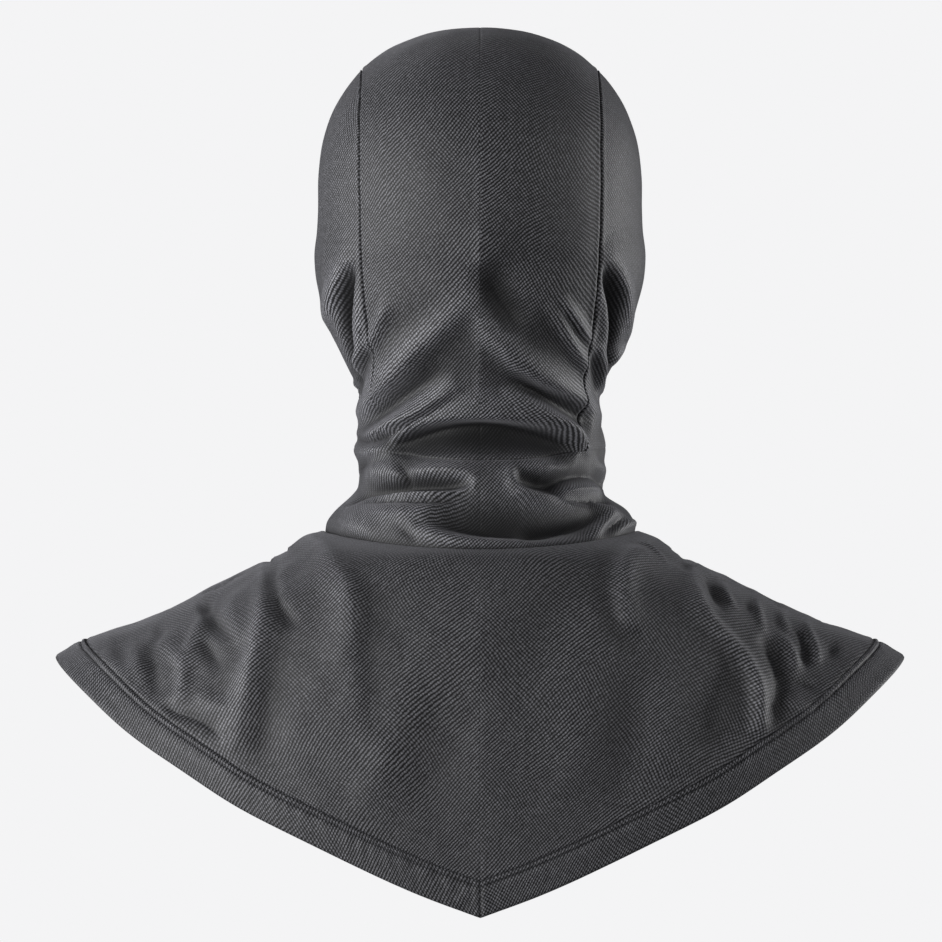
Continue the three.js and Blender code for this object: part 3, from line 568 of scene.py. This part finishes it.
def fold_shift(folds, points, outward):
    """How far folds push the cloth out at points of the smooth form."""
    flat = points.reshape(-1, 3)
    out = outward.reshape(-1, 3)
    shift = np.zeros(len(flat))
    for line, rises, right, left, sharp in folds:
        reach = (5 if sharp else 3) * max(right, left)
        near = np.all((flat > line.min(0) - reach) & (flat < line.max(0) + reach), axis=1)
        if not near.any():
            continue
        p, o = flat[near], out[near]
        closest = np.full(len(p), np.inf)
        rise = np.zeros(len(p))
        side = np.zeros(len(p))
        for a, b, low, high in zip(line, line[1:], rises, rises[1:]):
            ab = b - a
            share = np.clip((p - a) @ ab / max(ab @ ab, 1e-9), 0, 1)
            off = p - a - share[:, None] * ab
            distance = np.linalg.norm(off, axis=1)
            nearer = distance < closest
            closest = np.where(nearer, distance, closest)
            rise = np.where(nearer, low + (high - low) * share, rise)
            side = np.where(nearer, np.sum(np.cross(ab, off) * o, axis=1), side)
        width = np.where(side > 0, left, right)
        profile = np.exp(-closest / width) if sharp else bell(closest, width)
        shift[near] += rise * profile
    return shift.reshape(points.shape[:-1])


RIPPLE_COUNT = 26
RIPPLE_LENGTHS = (14, 46)
draws = np.random.default_rng(7)
ripple_waves = []
for _ in range(RIPPLE_COUNT):
    direction = draws.normal(size=3)
    direction /= np.linalg.norm(direction)
    ripple_waves.append((direction, draws.uniform(*RIPPLE_LENGTHS), draws.uniform(0, 2 * math.pi)))


def ripple(points):
    """The slight unevenness of lying cloth, about 1 at its highest."""
    total = 0
    for direction, length, phase in ripple_waves:
        total = total + np.sin(points @ direction * (2 * math.pi / length) + phase)
    return total / 8


def gather_shift(turn, drop):
    """Rings of gathers round the front of the neck."""
    share = (drop - nape_drop(turn)) / (collar_drop(turn) - nape_drop(turn))
    frontness = smoothstep(np.abs(turn), math.radians(75), math.radians(120))
    rings = np.sin(2 * math.pi * (2.6 * share + 0.22 * np.sin(3 * turn)))
    return GATHER_RISE * frontness * smoothstep(share, 0.2, 0.4) * (1 - smoothstep(share, 0.8, 1)) * rings


def folded_hood(smooth, extra=0.0):
    """The body side of the hood's folded cloth, the way out of it, and how far it stands out."""
    out = hood_out(smooth)
    turn = np.arctan2(smooth[..., 0], smooth[..., 1])
    above_collar = collar_drop(turn) + smooth[..., 2]
    freedom = smoothstep(above_collar, -1, 6)
    folds = fold_shift(hood_folds, smooth, out)
    gathers = gather_shift(turn, -smooth[..., 2])
    shift = freedom * (folds + 0.25 * ripple(smooth)) + gathers + extra
    # How far the cloth stands above its surroundings, which sets the painted shade and highlight.
    raised = freedom * (folds - fold_shift(wide_hood_folds, smooth, out)) + gathers
    return smooth + shift[..., None] * out, out, raised


def folded_cape(turn, out):
    """The body side of the cape's folded cloth, the way out of it, and how far it stands out."""
    smooth = cape_point(turn, out)
    normal = cape_out(turn, out)
    freedom = smoothstep(out, 0, 0.06) * (1 - 0.85 * smoothstep(out, 0.84, 0.98))
    folds = fold_shift(cape_folds, smooth, normal)
    shift = freedom * folds
    shift = shift + smoothstep(out, 0, 0.2) * (1 - 0.7 * smoothstep(out, 0.8, 0.97)) * 0.45 * ripple(smooth)
    # How far the cloth stands above its surroundings, which sets the painted shade and highlight.
    raised = 0.6 * freedom * (folds - fold_shift(wide_cape_folds, smooth, normal))
    return smooth + shift[..., None] * normal, normal, raised


# How much lighter the colour is painted for each millimetre cloth stands above its surroundings, and how much
# darker below them: painted highlight on ridges and painted shade in hollows
PAINTED_HIGHLIGHT = 0.28
PAINTED_SHADE = 0.46
DARKEST = 0.09
LIGHTEST = 1.7
INSIDE_TONE = 0.8
# Edges sharper than this aren't smoothed over.
SHARP_EDGE = math.radians(70)

# Lengths in from an edge at which a grid has lines
EDGE = (0, 0.3, 0.65, 1.05, 1.5, 2.0, 2.6, 3.3, 4.2, 5.4)


def shares(length, step, fine_start=True, fine_end=True):
    """Shares of a length, step apart, with closer ones at its ends."""
    start = EDGE if fine_start else (0,)
    end = EDGE if fine_end else (0,)
    count = max(2, round((length - start[-1] - end[-1]) / step))
    middle = np.linspace(start[-1], length - end[-1], count + 1)
    made = np.concatenate([start[:-1], middle, length - np.array(end[-2::-1] if len(end) > 1 else [])])
    return made / length


def reach_along(grid, axis, from_end=False):
    """Length along the grid from one of its edges to each point."""
    steps = np.linalg.norm(np.diff(grid, axis=axis), axis=-1)
    pad = [(0, 0), (0, 0)]
    if from_end:
        pad[axis] = (0, 1)
        return np.flip(np.cumsum(np.flip(np.pad(steps, pad), axis), axis), axis)
    pad[axis] = (1, 0)
    return np.cumsum(np.pad(steps, pad), axis)


def sewn(distance):
    """Cloth beside a seam dips into it from a soft lip."""
    return -0.9 * bell(distance, 0.55) + 0.28 * bell(distance - 2.0, 1.2)


def seam_shown(points):
    """The side seam goes under a fold low on the left."""
    image_x, image_y = image_of(points)
    covered = smoothstep(image_y, *LEFT_SEAM_COVERED)
    return 1 - 0.9 * covered * (image_x < CENTRE_COLUMN) * (points[..., 1] > 0)


def nape_seam_shown(points):
    """The nape seam shows at the back between the folds, and is taken up by them to either side."""
    image_x, _ = image_of(points)
    covered = smoothstep(np.abs(image_x - NAPE_SEAM_MIDDLE), *NAPE_SEAM_COVERED)
    return 1 - 0.85 * covered * (points[..., 1] > -20)


def rolled(distance):
    """Cloth beside a free edge rounds over."""
    return -0.7 * bell(distance, 0.7)


STITCH_DEPTH = 0.5


def stitch_line(distance):
    """A row of stitches pulls a groove."""
    return -STITCH_DEPTH * bell(distance, 0.55) + 0.4 * STITCH_DEPTH * bell(np.abs(distance) - 1.7, 0.9)


def cloth_piece(name, node, grid, relief, cloth, material, shift_x=0.0):
    """A closed sheet over a grid. relief moves its outer side alone. cloth is the grid laid flat."""
    place, out, raised = grid
    outer = place + (CLOTH + relief)[..., None] * out
    rows, columns = place.shape[:2]
    points = np.concatenate([place.reshape(-1, 3), outer.reshape(-1, 3)])
    points[:, 0] += shift_x
    index = np.arange(rows * columns).reshape(rows, columns)
    count = rows * columns
    a, b, c, d = index[:-1, :-1], index[:-1, 1:], index[1:, 1:], index[1:, :-1]
    top = np.stack([a, b, c, d], axis=-1).reshape(-1, 4)
    ring = [index[0, :], index[:, -1], index[-1, ::-1], index[::-1, 0]]
    walls = [np.stack([r[:-1], r[:-1] + count, r[1:] + count, r[1:]], axis=-1) for r in ring]
    faces = np.concatenate([top, top[:, ::-1] + count, *walls])
    j, i = rows // 2, columns // 2
    across = outer[j, i + 1] - outer[j, i]
    down = outer[j + 1, i] - outer[j, i]
    if np.cross(down, across) @ out[j, i] < 0:
        faces = faces[:, ::-1]
    mesh = bpy.data.meshes.new(name)
    mesh.from_pydata((points * MM).tolist(), [], faces.tolist())
    mesh.validate()
    mesh.shade_smooth()
    mesh.set_sharp_from_angle(angle=SHARP_EDGE)
    flat = mesh.attributes.new("cloth", "FLOAT_VECTOR", "POINT")
    flat.data.foreach_set("vector", np.concatenate([cloth.reshape(-1, 3)] * 2).astype(np.float32).ravel())
    # Painted shade and highlight: the colour is darkened in hollows, seam grooves and stitch lines and
    # lightened on ridges, by how far the cloth stands above its surroundings.
    stands = raised + 1.5 * np.minimum(relief, 0.2)
    painted_shade_and_highlight = np.exp(PAINTED_HIGHLIGHT * np.maximum(stands, 0) + PAINTED_SHADE * np.minimum(stands, 0))
    painted_shade_and_highlight = np.clip(painted_shade_and_highlight, DARKEST, LIGHTEST)
    tone = mesh.attributes.new("painted_shade_and_highlight", "FLOAT", "POINT")
    tones = np.concatenate([np.full(count, INSIDE_TONE), painted_shade_and_highlight.ravel()])
    tone.data.foreach_set("value", tones.astype(np.float32))
    mesh.materials.append(material)
    piece = bpy.data.objects.new(name, mesh)
    bpy.context.scene.collection.objects.link(piece)
    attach(piece, "root")
    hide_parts(node)
    return piece


def flat_coordinates(u, v):
    return np.stack([u, v, np.zeros_like(u)], axis=-1)


# Materials
def linear(value):
    """A display value from 0 to 255 as linear light."""
    value /= 255
    return value / 12.92 if value <= 0.04045 else ((value + 0.055) / 1.055) ** 2.4


class Graph:
    """Short names for the nodes of one shader."""

    def __init__(self, owner):
        owner.use_nodes = True
        self.tree = owner.node_tree
        self.tree.nodes.clear()

    def node(self, kind, **settings):
        made = self.tree.nodes.new("ShaderNode" + kind)
        for key, value in settings.items():
            setattr(made, key, value)
        return made

    def feed(self, socket, value):
        if isinstance(value, bpy.types.NodeSocket):
            self.tree.links.new(value, socket)
        else:
            socket.default_value = value

    def math(self, operation, *values):
        made = self.node("Math", operation=operation)
        for socket, value in zip(made.inputs, values):
            self.feed(socket, value)
        return made.outputs[0]

    def noise(self, vector, scale, detail=2.0):
        made = self.node("TexNoise")
        self.feed(made.inputs["Vector"], vector)
        made.inputs["Scale"].default_value = scale
        made.inputs["Detail"].default_value = detail
        return made.outputs[0]

    def blend(self, share, low, high):
        """low where share is 0, high where it is 1."""
        span = self.math("SUBTRACT", high, low)
        return self.math("MULTIPLY_ADD", span, share, low)


# For each knit: angle of the main ribs and of the crossing ribs, share of the crossing ribs, how that share
# changes per metre across, tone, contrast and pitch of the ribs. The tone is painted light: the one cloth is
# made lighter on some pieces than on others for how brightly each is lit, most on the side panels.
KNITS = {
    "crown_left": (50, -50, 0.16, 0, 1.08, 1.75, 1.5),
    "crown_right": (42, -55, 0.1, -14, 1.05, 1.85, 1.5),
    "side_left": (40, -55, 0.25, 0, 1.27, 1.7, 1.6),
    "side_right": (-40, 55, 0.25, 0, 1.27, 1.7, 1.6),
    "gaiter_left": (45, -50, 0.2, 0, 1.1, 1.4, 1.42),
    "gaiter_right": (45, -50, 0.2, 0, 1.1, 1.4, 1.42),
    "mask": (45, -50, 0.4, 0, 1, 1, 1.52),
    "cape_left": (40, -48, 0.22, 0, 1.2, 1.35, 1.6),
    "cape_right": (40, -48, 0.3, 0, 1.2, 1.35, 1.6),
    "hem_left": (60, -45, 0.3, 0, 1.16, 1.6, 1.45),
    "hem_right": (50, -45, 0.3, 0, 1.16, 1.6, 1.45),
}
KNIT_COLOUR = (0.0425, 0.0425, 0.0465)


def rib_family(graph, u, v, angle, wobble, pitch):
    """One family of slanting ribs, broken into stitches. A positive angle rises to the right in the image."""
    turn = math.radians(abs(angle))
    lean = math.copysign(1, angle)
    across = graph.math("MULTIPLY", u, math.sin(turn) / pitch)
    across = graph.math("MULTIPLY_ADD", v, lean * math.cos(turn) / pitch, across)
    across = graph.math("ADD", wobble, across)
    stitch_pitch = 0.86 * pitch
    along = graph.math("MULTIPLY", u, -lean * math.cos(turn) / stitch_pitch)
    along = graph.math("MULTIPLY_ADD", v, math.sin(turn) / stitch_pitch, along)
    along = graph.math("MULTIPLY_ADD", graph.math("FLOOR", across), 0.5, along)
    rib = graph.math("SINE", graph.math("MULTIPLY", across, 2 * math.pi))
    rib = graph.math("MULTIPLY_ADD", rib, 0.5, 0.5)
    stitch = graph.math("SINE", graph.math("MULTIPLY", along, 2 * math.pi))
    stitch = graph.math("MULTIPLY_ADD", stitch, 0.14, 0.86)
    return graph.math("MULTIPLY", rib, stitch)


def knit_material(name):
    """Fine knit with two crossing families of ribs, one of them stronger."""
    main, cross, cross_share, share_slope, tone, contrast, pitch = KNITS[name]
    material = bpy.data.materials.new("knit_" + name)
    g = Graph(material)
    cloth = g.node("Attribute", attribute_name="cloth").outputs["Vector"]
    split = g.node("SeparateXYZ")
    g.feed(split.inputs[0], cloth)
    u, v = split.outputs[0], split.outputs[1]
    jitter = g.math("MULTIPLY", g.noise(cloth, 0.42, 1.0), 0.55)
    wobble = g.math("MULTIPLY_ADD", g.noise(cloth, 0.017, 0.0), 7.0, jitter)
    second = g.math("MULTIPLY_ADD", g.noise(cloth, 0.021, 0.0), 7.0, jitter)
    patches = g.noise(cloth, 0.035, 1.0)
    share = g.math("MULTIPLY_ADD", u, share_slope * MM, cross_share)
    share = g.math("ADD", share, g.math("MULTIPLY_ADD", patches, 1.5, -0.75))
    made = g.node("Clamp")
    g.feed(made.inputs[0], share)
    share = made.outputs[0]
    ribs = rib_family(g, u, v, main, wobble, pitch)
    crossing = rib_family(g, u, v, cross, second, pitch)
    woven = g.math("MULTIPLY", ribs, g.math("MULTIPLY_ADD", crossing, 0.4, 0.7))
    crossed = g.math("MULTIPLY", crossing, g.math("MULTIPLY_ADD", ribs, 0.4, 0.7))
    height = g.blend(share, woven, crossed)
    fuzz = g.noise(cloth, 1.9, 2.0)
    drift = g.noise(cloth, 0.012, 2.0)
    unevenness = g.noise(cloth, 0.3, 2.0)
    shade = g.math("MULTIPLY_ADD", height, 3.6 * contrast, 1 - 1.2 * contrast)
    shade = g.math("MAXIMUM", shade, 0.05)
    for noise, gain, least in ((fuzz, 0.9, 0.55), (drift, 0.24, 0.88), (unevenness, 1.2, 0.4)):
        shade = g.math("MULTIPLY", shade, g.math("MULTIPLY_ADD", noise, gain, least))
    # Painted shade and highlight from the mesh: darker in hollows, lighter on ridges.
    painted_shade_and_highlight = g.node("Attribute", attribute_name="painted_shade_and_highlight").outputs["Fac"]
    # The tone brightens the colour as painted light for how brightly this piece is lit, and the painted shade
    # and highlight then scale it.
    shade = g.math("MULTIPLY", g.math("MULTIPLY", shade, tone), painted_shade_and_highlight)
    colour = g.node("CombineColor")
    for socket, part in zip(colour.inputs, KNIT_COLOUR):
        g.feed(socket, g.math("MULTIPLY", shade, part))
    bump = g.node("Bump")
    bump.inputs["Strength"].default_value = 0.35
    bump.inputs["Distance"].default_value = 0.00035
    g.feed(bump.inputs["Height"], g.math("MULTIPLY_ADD", fuzz, 0.35, height))
    shader = g.node("BsdfPrincipled")
    shader.inputs["Roughness"].default_value = 0.58
    shader.inputs["Specular IOR Level"].default_value = 0.38
    shader.inputs["Sheen Weight"].default_value = 0.22
    shader.inputs["Sheen Roughness"].default_value = 0.5
    shader.inputs["Sheen Tint"].default_value = (0.8, 0.8, 0.86, 1)
    g.feed(shader.inputs["Base Color"], colour.outputs[0])
    g.feed(shader.inputs["Normal"], bump.outputs[0])
    g.feed(g.node("OutputMaterial").inputs[0], shader.outputs[0])
    return material


CENTRE_GROOVE = 0.15
CAPE_CENTRE_GROOVE = 0.12
# The share of a fold's slope that the ribs follow
FOLD_SHARE = 0.6
# Rough lengths across and down, and the steps between a grid's lines
DOME_LENGTH = math.pi * 88
CROWN_STEPS = (1.3, 1.15, 2.4)
SIDE_SIZE, SIDE_STEPS = (150, 200), (1.35, 1.4)
GAITER_SIZE, GAITER_STEPS = (270, 50), (1.7, 1.15)
MASK_SIZE, MASK_STEPS = (190, 120), (1.6, 1.6)
CAPE_SIZE, CAPE_STEPS, HEM_STEPS = (480, 170), (1.9, 3.4, 1.7), (1.5, 2.6)


def margins(grid):
    """Lengths along the grid from its first column, last column, first row and last row."""
    return reach_along(grid, 1), reach_along(grid, 1, True), reach_along(grid, 0), reach_along(grid, 0, True)


def length_down(smooth, place):
    """Length down the cloth from its first row, in part over its folds."""
    return (1 - FOLD_SHARE) * reach_along(smooth, 0) + FOLD_SHARE * reach_along(place, 0)


def crown(side, hand):
    """Half of the middle strip, from the nape seam over the crown to the brow."""
    back_length = nape_drop(0.0) - WIDEST_DROP
    back = shares(back_length, CROWN_STEPS[1], True, False)
    dome = shares(DOME_LENGTH, CROWN_STEPS[2], False, True)
    u = shares(STRIP_HALF_WIDTH, CROWN_STEPS[0])[None, :]

    def half_width(drop):
        return STRIP_HALF_WIDTH * strip_share(level_of(drop)) - HALF_GAP

    v = back[:, None]
    drop = nape_drop(0.0) + (WIDEST_DROP - nape_drop(0.0)) * v + 0 * u
    for _ in range(6):
        turn = turn_at(hand * u * half_width(drop), drop)
        low = nape_drop(turn) - HALF_GAP
        drop = low + (WIDEST_DROP - low) * v
    lower = hood_point(turn, drop)
    over = math.pi * dome[1:, None]
    upper = dome_point(over, hand * u * half_width(WIDEST_DROP) + 0 * over)
    smooth = np.concatenate([lower, upper])
    place, out, raised = folded_hood(smooth)
    from_middle, from_seam, from_nape, from_brow = margins(smooth)
    relief = sewn(from_seam) * seam_shown(smooth) + sewn(from_nape) * nape_seam_shown(smooth)
    relief += rolled(from_brow) + stitch_line(from_brow - 9)
    relief -= CENTRE_GROOVE * bell(from_middle, 0.5)
    cloth = flat_coordinates(hand * from_middle, length_down(smooth, place))
    node = "crown_" + side
    grid = place, out, raised
    return cloth_piece("hood_" + node, node, grid, relief, cloth, knit_material(node), hand * HALF_GAP)


def side_panel(side, hand):
    """The panel over ear and jaw, from the strip's seam to the face opening."""
    n = DOME_SQUARENESS
    seam = STRIP_HALF_WIDTH + HALF_GAP
    top_drop = WIDEST_DROP * (1 - (1 - (seam / HEAD_HALF_WIDTH) ** n) ** (1 / n)) + 0.3
    u = shares(SIDE_SIZE[0], SIDE_STEPS[0])[None, :]
    v = shares(SIDE_SIZE[1], SIDE_STEPS[1])[:, None]
    drop = top_drop + (nape_drop(math.pi / 2) - top_drop) * v + 0 * u
    for _ in range(7):
        back_edge = turn_at(STRIP_HALF_WIDTH * strip_share(level_of(drop)) + HALF_GAP, drop)
        front_edge = math.pi - turn_at(STRIP_HALF_WIDTH * face_share(level_of(drop)) + HALF_GAP, drop)
        turn = back_edge + (front_edge - back_edge) * u
        drop = top_drop + (nape_drop(turn) - HALF_GAP - top_drop) * v
    smooth = hood_point(hand * turn, drop)
    grid = folded_hood(smooth)
    from_seam, from_front, from_top, from_nape = margins(smooth)
    relief = sewn(from_seam) * seam_shown(smooth) + sewn(from_nape) * nape_seam_shown(smooth)
    relief += rolled(from_front) + stitch_line(from_front - 9) * smoothstep(from_top, 8, 14)
    seam_back = smooth[:, [0], 1]
    arch = np.where(drop[:, [0]] < WIDEST_DROP, np.max(seam_back) - seam_back, 0.0)
    rows = from_top[:, [from_top.shape[1] // 2]] + 0 * from_seam
    cloth = flat_coordinates(hand * (from_seam + STRIP_HALF_WIDTH + arch), -rows)
    node = "side_" + side
    return cloth_piece("hood_" + node, node, grid, relief, cloth, knit_material(node))


def gaiter(side, hand):
    """Half of the gathered neck, from the nape seam down into the collar."""
    u = shares(GAITER_SIZE[0], GAITER_STEPS[0])[None, :]
    v = shares(GAITER_SIZE[1], GAITER_STEPS[1])[:, None]
    turn = hand * math.pi * u
    low = collar_drop(turn) + COLLAR_TUCK
    high = nape_drop(turn) + HALF_GAP
    drop = high + (low - high) * v
    smooth = hood_point(turn + 0 * v, drop)
    place, out, raised = folded_hood(smooth)
    from_middle, from_front, from_nape, from_collar = margins(smooth)
    # Painted shade: a dark band where the gaiter goes under the cape's collar.
    raised = raised - 4 * bell(from_collar - COLLAR_TUCK, 2.4)
    relief = sewn(from_nape) * nape_seam_shown(smooth) - CENTRE_GROOVE * bell(from_middle, 0.5)
    relief += 0.5 * sewn(from_front)
    cloth = flat_coordinates(hand * from_middle, -length_down(smooth, place))
    node = "gaiter_" + side
    grid = place, out, raised
    return cloth_piece("neck_" + node, node, grid, relief, cloth, knit_material(node), hand * HALF_GAP)


def face_panel():
    """The lower face panel, from over the nose to the throat, lapped over the side panels."""
    eye_low = WIDEST_DROP + EYE_HEIGHT
    nose_tip = eye_low + 0.62 * EYE_HEIGHT
    u = shares(MASK_SIZE[0], MASK_STEPS[0])[None, :]
    v = shares(MASK_SIZE[1], MASK_STEPS[1])[:, None]
    across = 2 * u - 1
    turn = math.pi + across * MASK_HALF_TURN
    high = eye_low + MASK_SIDE_DIP * across**2
    low = nape_drop(turn) + MASK_LAP
    drop = high + (low - high) * v
    smooth = hood_point(turn + 0 * v, drop)
    over_nose = bell(smooth[..., 0], NOSE_WIDTH) * bell(drop - nose_tip, 0.8 * EYE_HEIGHT)
    grid = folded_hood(smooth, CLOTH + LAP_GAP * (1 + v**4) + NOSE_RISE * over_nose)
    from_left, from_right, from_top, from_low = margins(smooth)
    relief = rolled(from_top) + stitch_line(from_top - 12) + rolled(from_low) + stitch_line(from_low - 6)
    sides = rolled(from_left) + rolled(from_right) + stitch_line(from_left - 6)
    relief += sides + stitch_line(from_right - 6)
    middle = from_left[:, [from_left.shape[1] // 2]]
    cloth = flat_coordinates(from_left - middle, -from_top)
    return cloth_piece("face_panel", "mask_panel", grid, relief, cloth, knit_material("mask"))


def cape_columns(length, step_back, step_front):
    """Turns as shares of a half circle, closer together at the back."""
    at = [0.0]
    while at[-1] < length:
        back = 1 - smoothstep(at[-1] / length, 0.45, 0.62)
        at.append(at[-1] + step_front + (step_back - step_front) * back)
    middle = np.array(at) / at[-1]
    fine = np.array(EDGE) / length
    inner = middle[(middle > fine[-1] * 1.1) & (middle < 1 - fine[-1] * 1.1)]
    return np.concatenate([fine, inner, 1 - fine[::-1]])


def cape_turn(share):
    """Turn from a share of the way round, evened out along the hem."""
    fine = np.linspace(0, math.pi, 2001)
    walked = reach_along(cape_point(fine, 0.6 + 0 * fine)[None], 1)[0]
    return np.interp(share * walked[-1], walked, fine)


CAPE_CUT_RADIUS = 110.0


def cape_flat(smooth, hand):
    """Flat coordinates of the cape, whose cut is part of a ring."""
    down = reach_along(smooth, 0)
    middle = smooth.shape[0] // 2
    steps = np.linalg.norm(np.diff(smooth[middle], axis=0), axis=-1)
    radius = CAPE_CUT_RADIUS + down[middle]
    swung = np.concatenate([[0], np.cumsum(steps / ((radius[1:] + radius[:-1]) / 2))])
    far = CAPE_CUT_RADIUS + down
    return flat_coordinates(hand * far * np.sin(swung), -far * np.cos(swung))


def cape(side, hand):
    """Half of the shoulder cape, from the collar seam to the hem."""
    turn = hand * cape_turn(cape_columns(CAPE_SIZE[0], *CAPE_STEPS[:2]))[None, :]
    v = shares(CAPE_SIZE[1], CAPE_STEPS[2])[:, None]
    out_share = v * (1 - hem_share(turn) - 2 * HALF_GAP / CAPE_SIZE[1])
    place, out, raised = folded_cape(turn + 0 * v, out_share)
    smooth = cape_point(turn + 0 * v, out_share)
    from_middle, from_front, from_collar, from_hem = margins(smooth)
    # Painted shade: a dark band along the cape's collar edge, in the joint under the hood.
    raised = raised - 2 * bell(from_collar, 1.2)
    relief = 0.5 * sewn(from_hem) + 0.6 * rolled(from_collar) - CAPE_CENTRE_GROOVE * bell(from_middle, 0.5)
    relief += 0.4 * sewn(from_front)
    cloth = cape_flat(smooth, hand)
    node = "cape_" + side
    grid = place, out, raised
    return cloth_piece("cape_cloth_" + side, node, grid, relief, cloth, knit_material(node), hand * HALF_GAP)


# Lengths down the hem at which its grid has lines
WELT = (0, 0.25, 0.6, 1, 1.4, 1.8, 2.2, 2.5, 2.8, 3.1, 3.5, 4.1, 5, 6.4, 8, 10, 12, 13.8, 15.2, 16.1, 16.6,
        HEM_WIDTH)


def hem(side, hand):
    """Half of the turned hem, with its two rows of stitches, its puckers and its mitred ends."""
    turn = hand * cape_turn(cape_columns(CAPE_SIZE[0], *HEM_STEPS))[None, :]
    v = np.array(WELT)[:, None] / HEM_WIDTH
    out_share = 1 - hem_share(turn) * (1 - v)
    grid = folded_cape(turn + 0 * v, out_share)
    smooth = cape_point(turn + 0 * v, out_share)
    from_top = v * HEM_WIDTH
    from_edge = (1 - v) * HEM_WIDTH
    along, from_front, _, _ = margins(smooth)
    puckers = 0.5 + 0.5 * np.sin(along / 57 + 1.1 * hand)
    pulled = np.sin(along / 1.45 + 2.2 * np.sin(along / 9.0) + from_top * 0.12)
    relief = -0.9 * bell(from_top, 0.45) + 0.55 * bell(from_top - 1.5, 0.8) - 0.75 * bell(from_top - 2.9, 0.5)
    relief = relief + 0.35 * bell(from_top - 6, 2.8) + 0.9 * rolled(from_edge)
    relief = relief + 0.22 * puckers * pulled * bell(from_top - 4.5, 5.0)
    for middle in (along, from_front):
        fan = 0.3 * np.sin((from_top + 3) * 9 / (middle + 6))
        relief = relief - 0.6 * bell(middle, 0.7) + 0.3 * bell(middle - 2.6, 1.4) + fan * bell(middle - 8, 6)
    cloth = flat_coordinates(hand * along, -from_top + 0 * along)
    node = "hem_" + side
    knit = knit_material(node)
    return cloth_piece("hem_band_" + side, node, grid, relief, cloth, knit, hand * HALF_GAP)


for side, hand in HANDS.items():
    crown(side, hand)
    side_panel(side, hand)
    gaiter(side, hand)
    cape(side, hand)
    hem(side, hand)
face_panel()

# Stage and light
BACKGROUND = (244, 244, 245)
AMBIENT = 0.02
FLOOR_RADIUS = 9.6
FLOOR_SIDES = 96
FLOOR_Z = -1.5
FLOOR_GLOW = 0.85
BOX_SIZE = (0.7, 1.2)
AIM = (0, 0, -0.22)
# name, place in metres, power
BOXES = (
    ("box_key", (1.56, 1.56, -0.22), 33),
    ("box_key_high", (1.27, 1.27, 1.04), 2),
    ("box_left", (2.19, 0.0, -0.22), 29),
    ("box_right_far", (-2.05, -0.8, -0.22), 30),
    ("box_right", (-1.5, 1.3, 0.4), 8),
)

scene = bpy.context.scene
scene.view_settings.view_transform = "Standard"
scene.view_settings.look = "None"

world = bpy.data.worlds.new("studio")
scene.world = world
g = Graph(world)
seen = g.node("Background")
seen.inputs["Color"].default_value = (*[linear(value) for value in BACKGROUND], 1)
ambient = g.node("Background")
ambient.inputs["Color"].default_value = (1, 1, 1, 1)
ambient.inputs["Strength"].default_value = AMBIENT
chosen = g.node("MixShader")
g.feed(chosen.inputs[0], g.node("LightPath").outputs["Is Camera Ray"])
g.feed(chosen.inputs[1], ambient.outputs[0])
g.feed(chosen.inputs[2], seen.outputs[0])
g.feed(g.node("OutputWorld").inputs[0], chosen.outputs[0])

floor_turns = np.arange(FLOOR_SIDES) * (2 * math.pi / FLOOR_SIDES)
rim = [(FLOOR_RADIUS * math.cos(a), FLOOR_RADIUS * math.sin(a), FLOOR_Z) for a in floor_turns]
floor_mesh = bpy.data.meshes.new("floor")
floor_mesh.from_pydata(rim, [], [list(range(FLOOR_SIDES))])
floor_material = bpy.data.materials.new("floor")
floor_material.use_nodes = True
floor_shader = floor_material.node_tree.nodes["Principled BSDF"]
floor_shader.inputs["Base Color"].default_value = (0.8, 0.8, 0.8, 1)
floor_shader.inputs["Roughness"].default_value = 0.9
floor_shader.inputs["Emission Color"].default_value = (0.8, 0.8, 0.8, 1)
floor_shader.inputs["Emission Strength"].default_value = FLOOR_GLOW
floor_mesh.materials.append(floor_material)
floor = bpy.data.objects.new("floor", floor_mesh)
scene.collection.objects.link(floor)
floor.visible_diffuse = False
floor.visible_glossy = False


def soft_box(name, place, power):
    """A box light that faces the neck."""
    light = bpy.data.lights.new(name, "AREA")
    light.shape = "RECTANGLE"
    light.size, light.size_y = BOX_SIZE
    light.energy = power
    lamp = bpy.data.objects.new(name, light)
    lamp.location = place
    scene.collection.objects.link(lamp)
    away = np.array(place) - np.array(AIM)
    tilt = math.acos(away[2] / np.linalg.norm(away))
    lamp.rotation_euler = (tilt, 0, math.atan2(away[1], away[0]) + math.pi / 2)


for name, place, power in BOXES:
    soft_box(name, place, power)

SENSOR = 36
camera_data = bpy.data.cameras.new("camera")
camera_data.sensor_width = SENSOR
camera_data.lens = SENSOR * CAMERA[1] / (IMAGE_SIZE * PIXEL)
camera = bpy.data.objects.new("camera", camera_data)
camera.location = [c * MM for c in CAMERA]
camera.rotation_euler = (math.pi / 2, 0, math.pi)
scene.collection.objects.link(camera)
scene.camera = camera
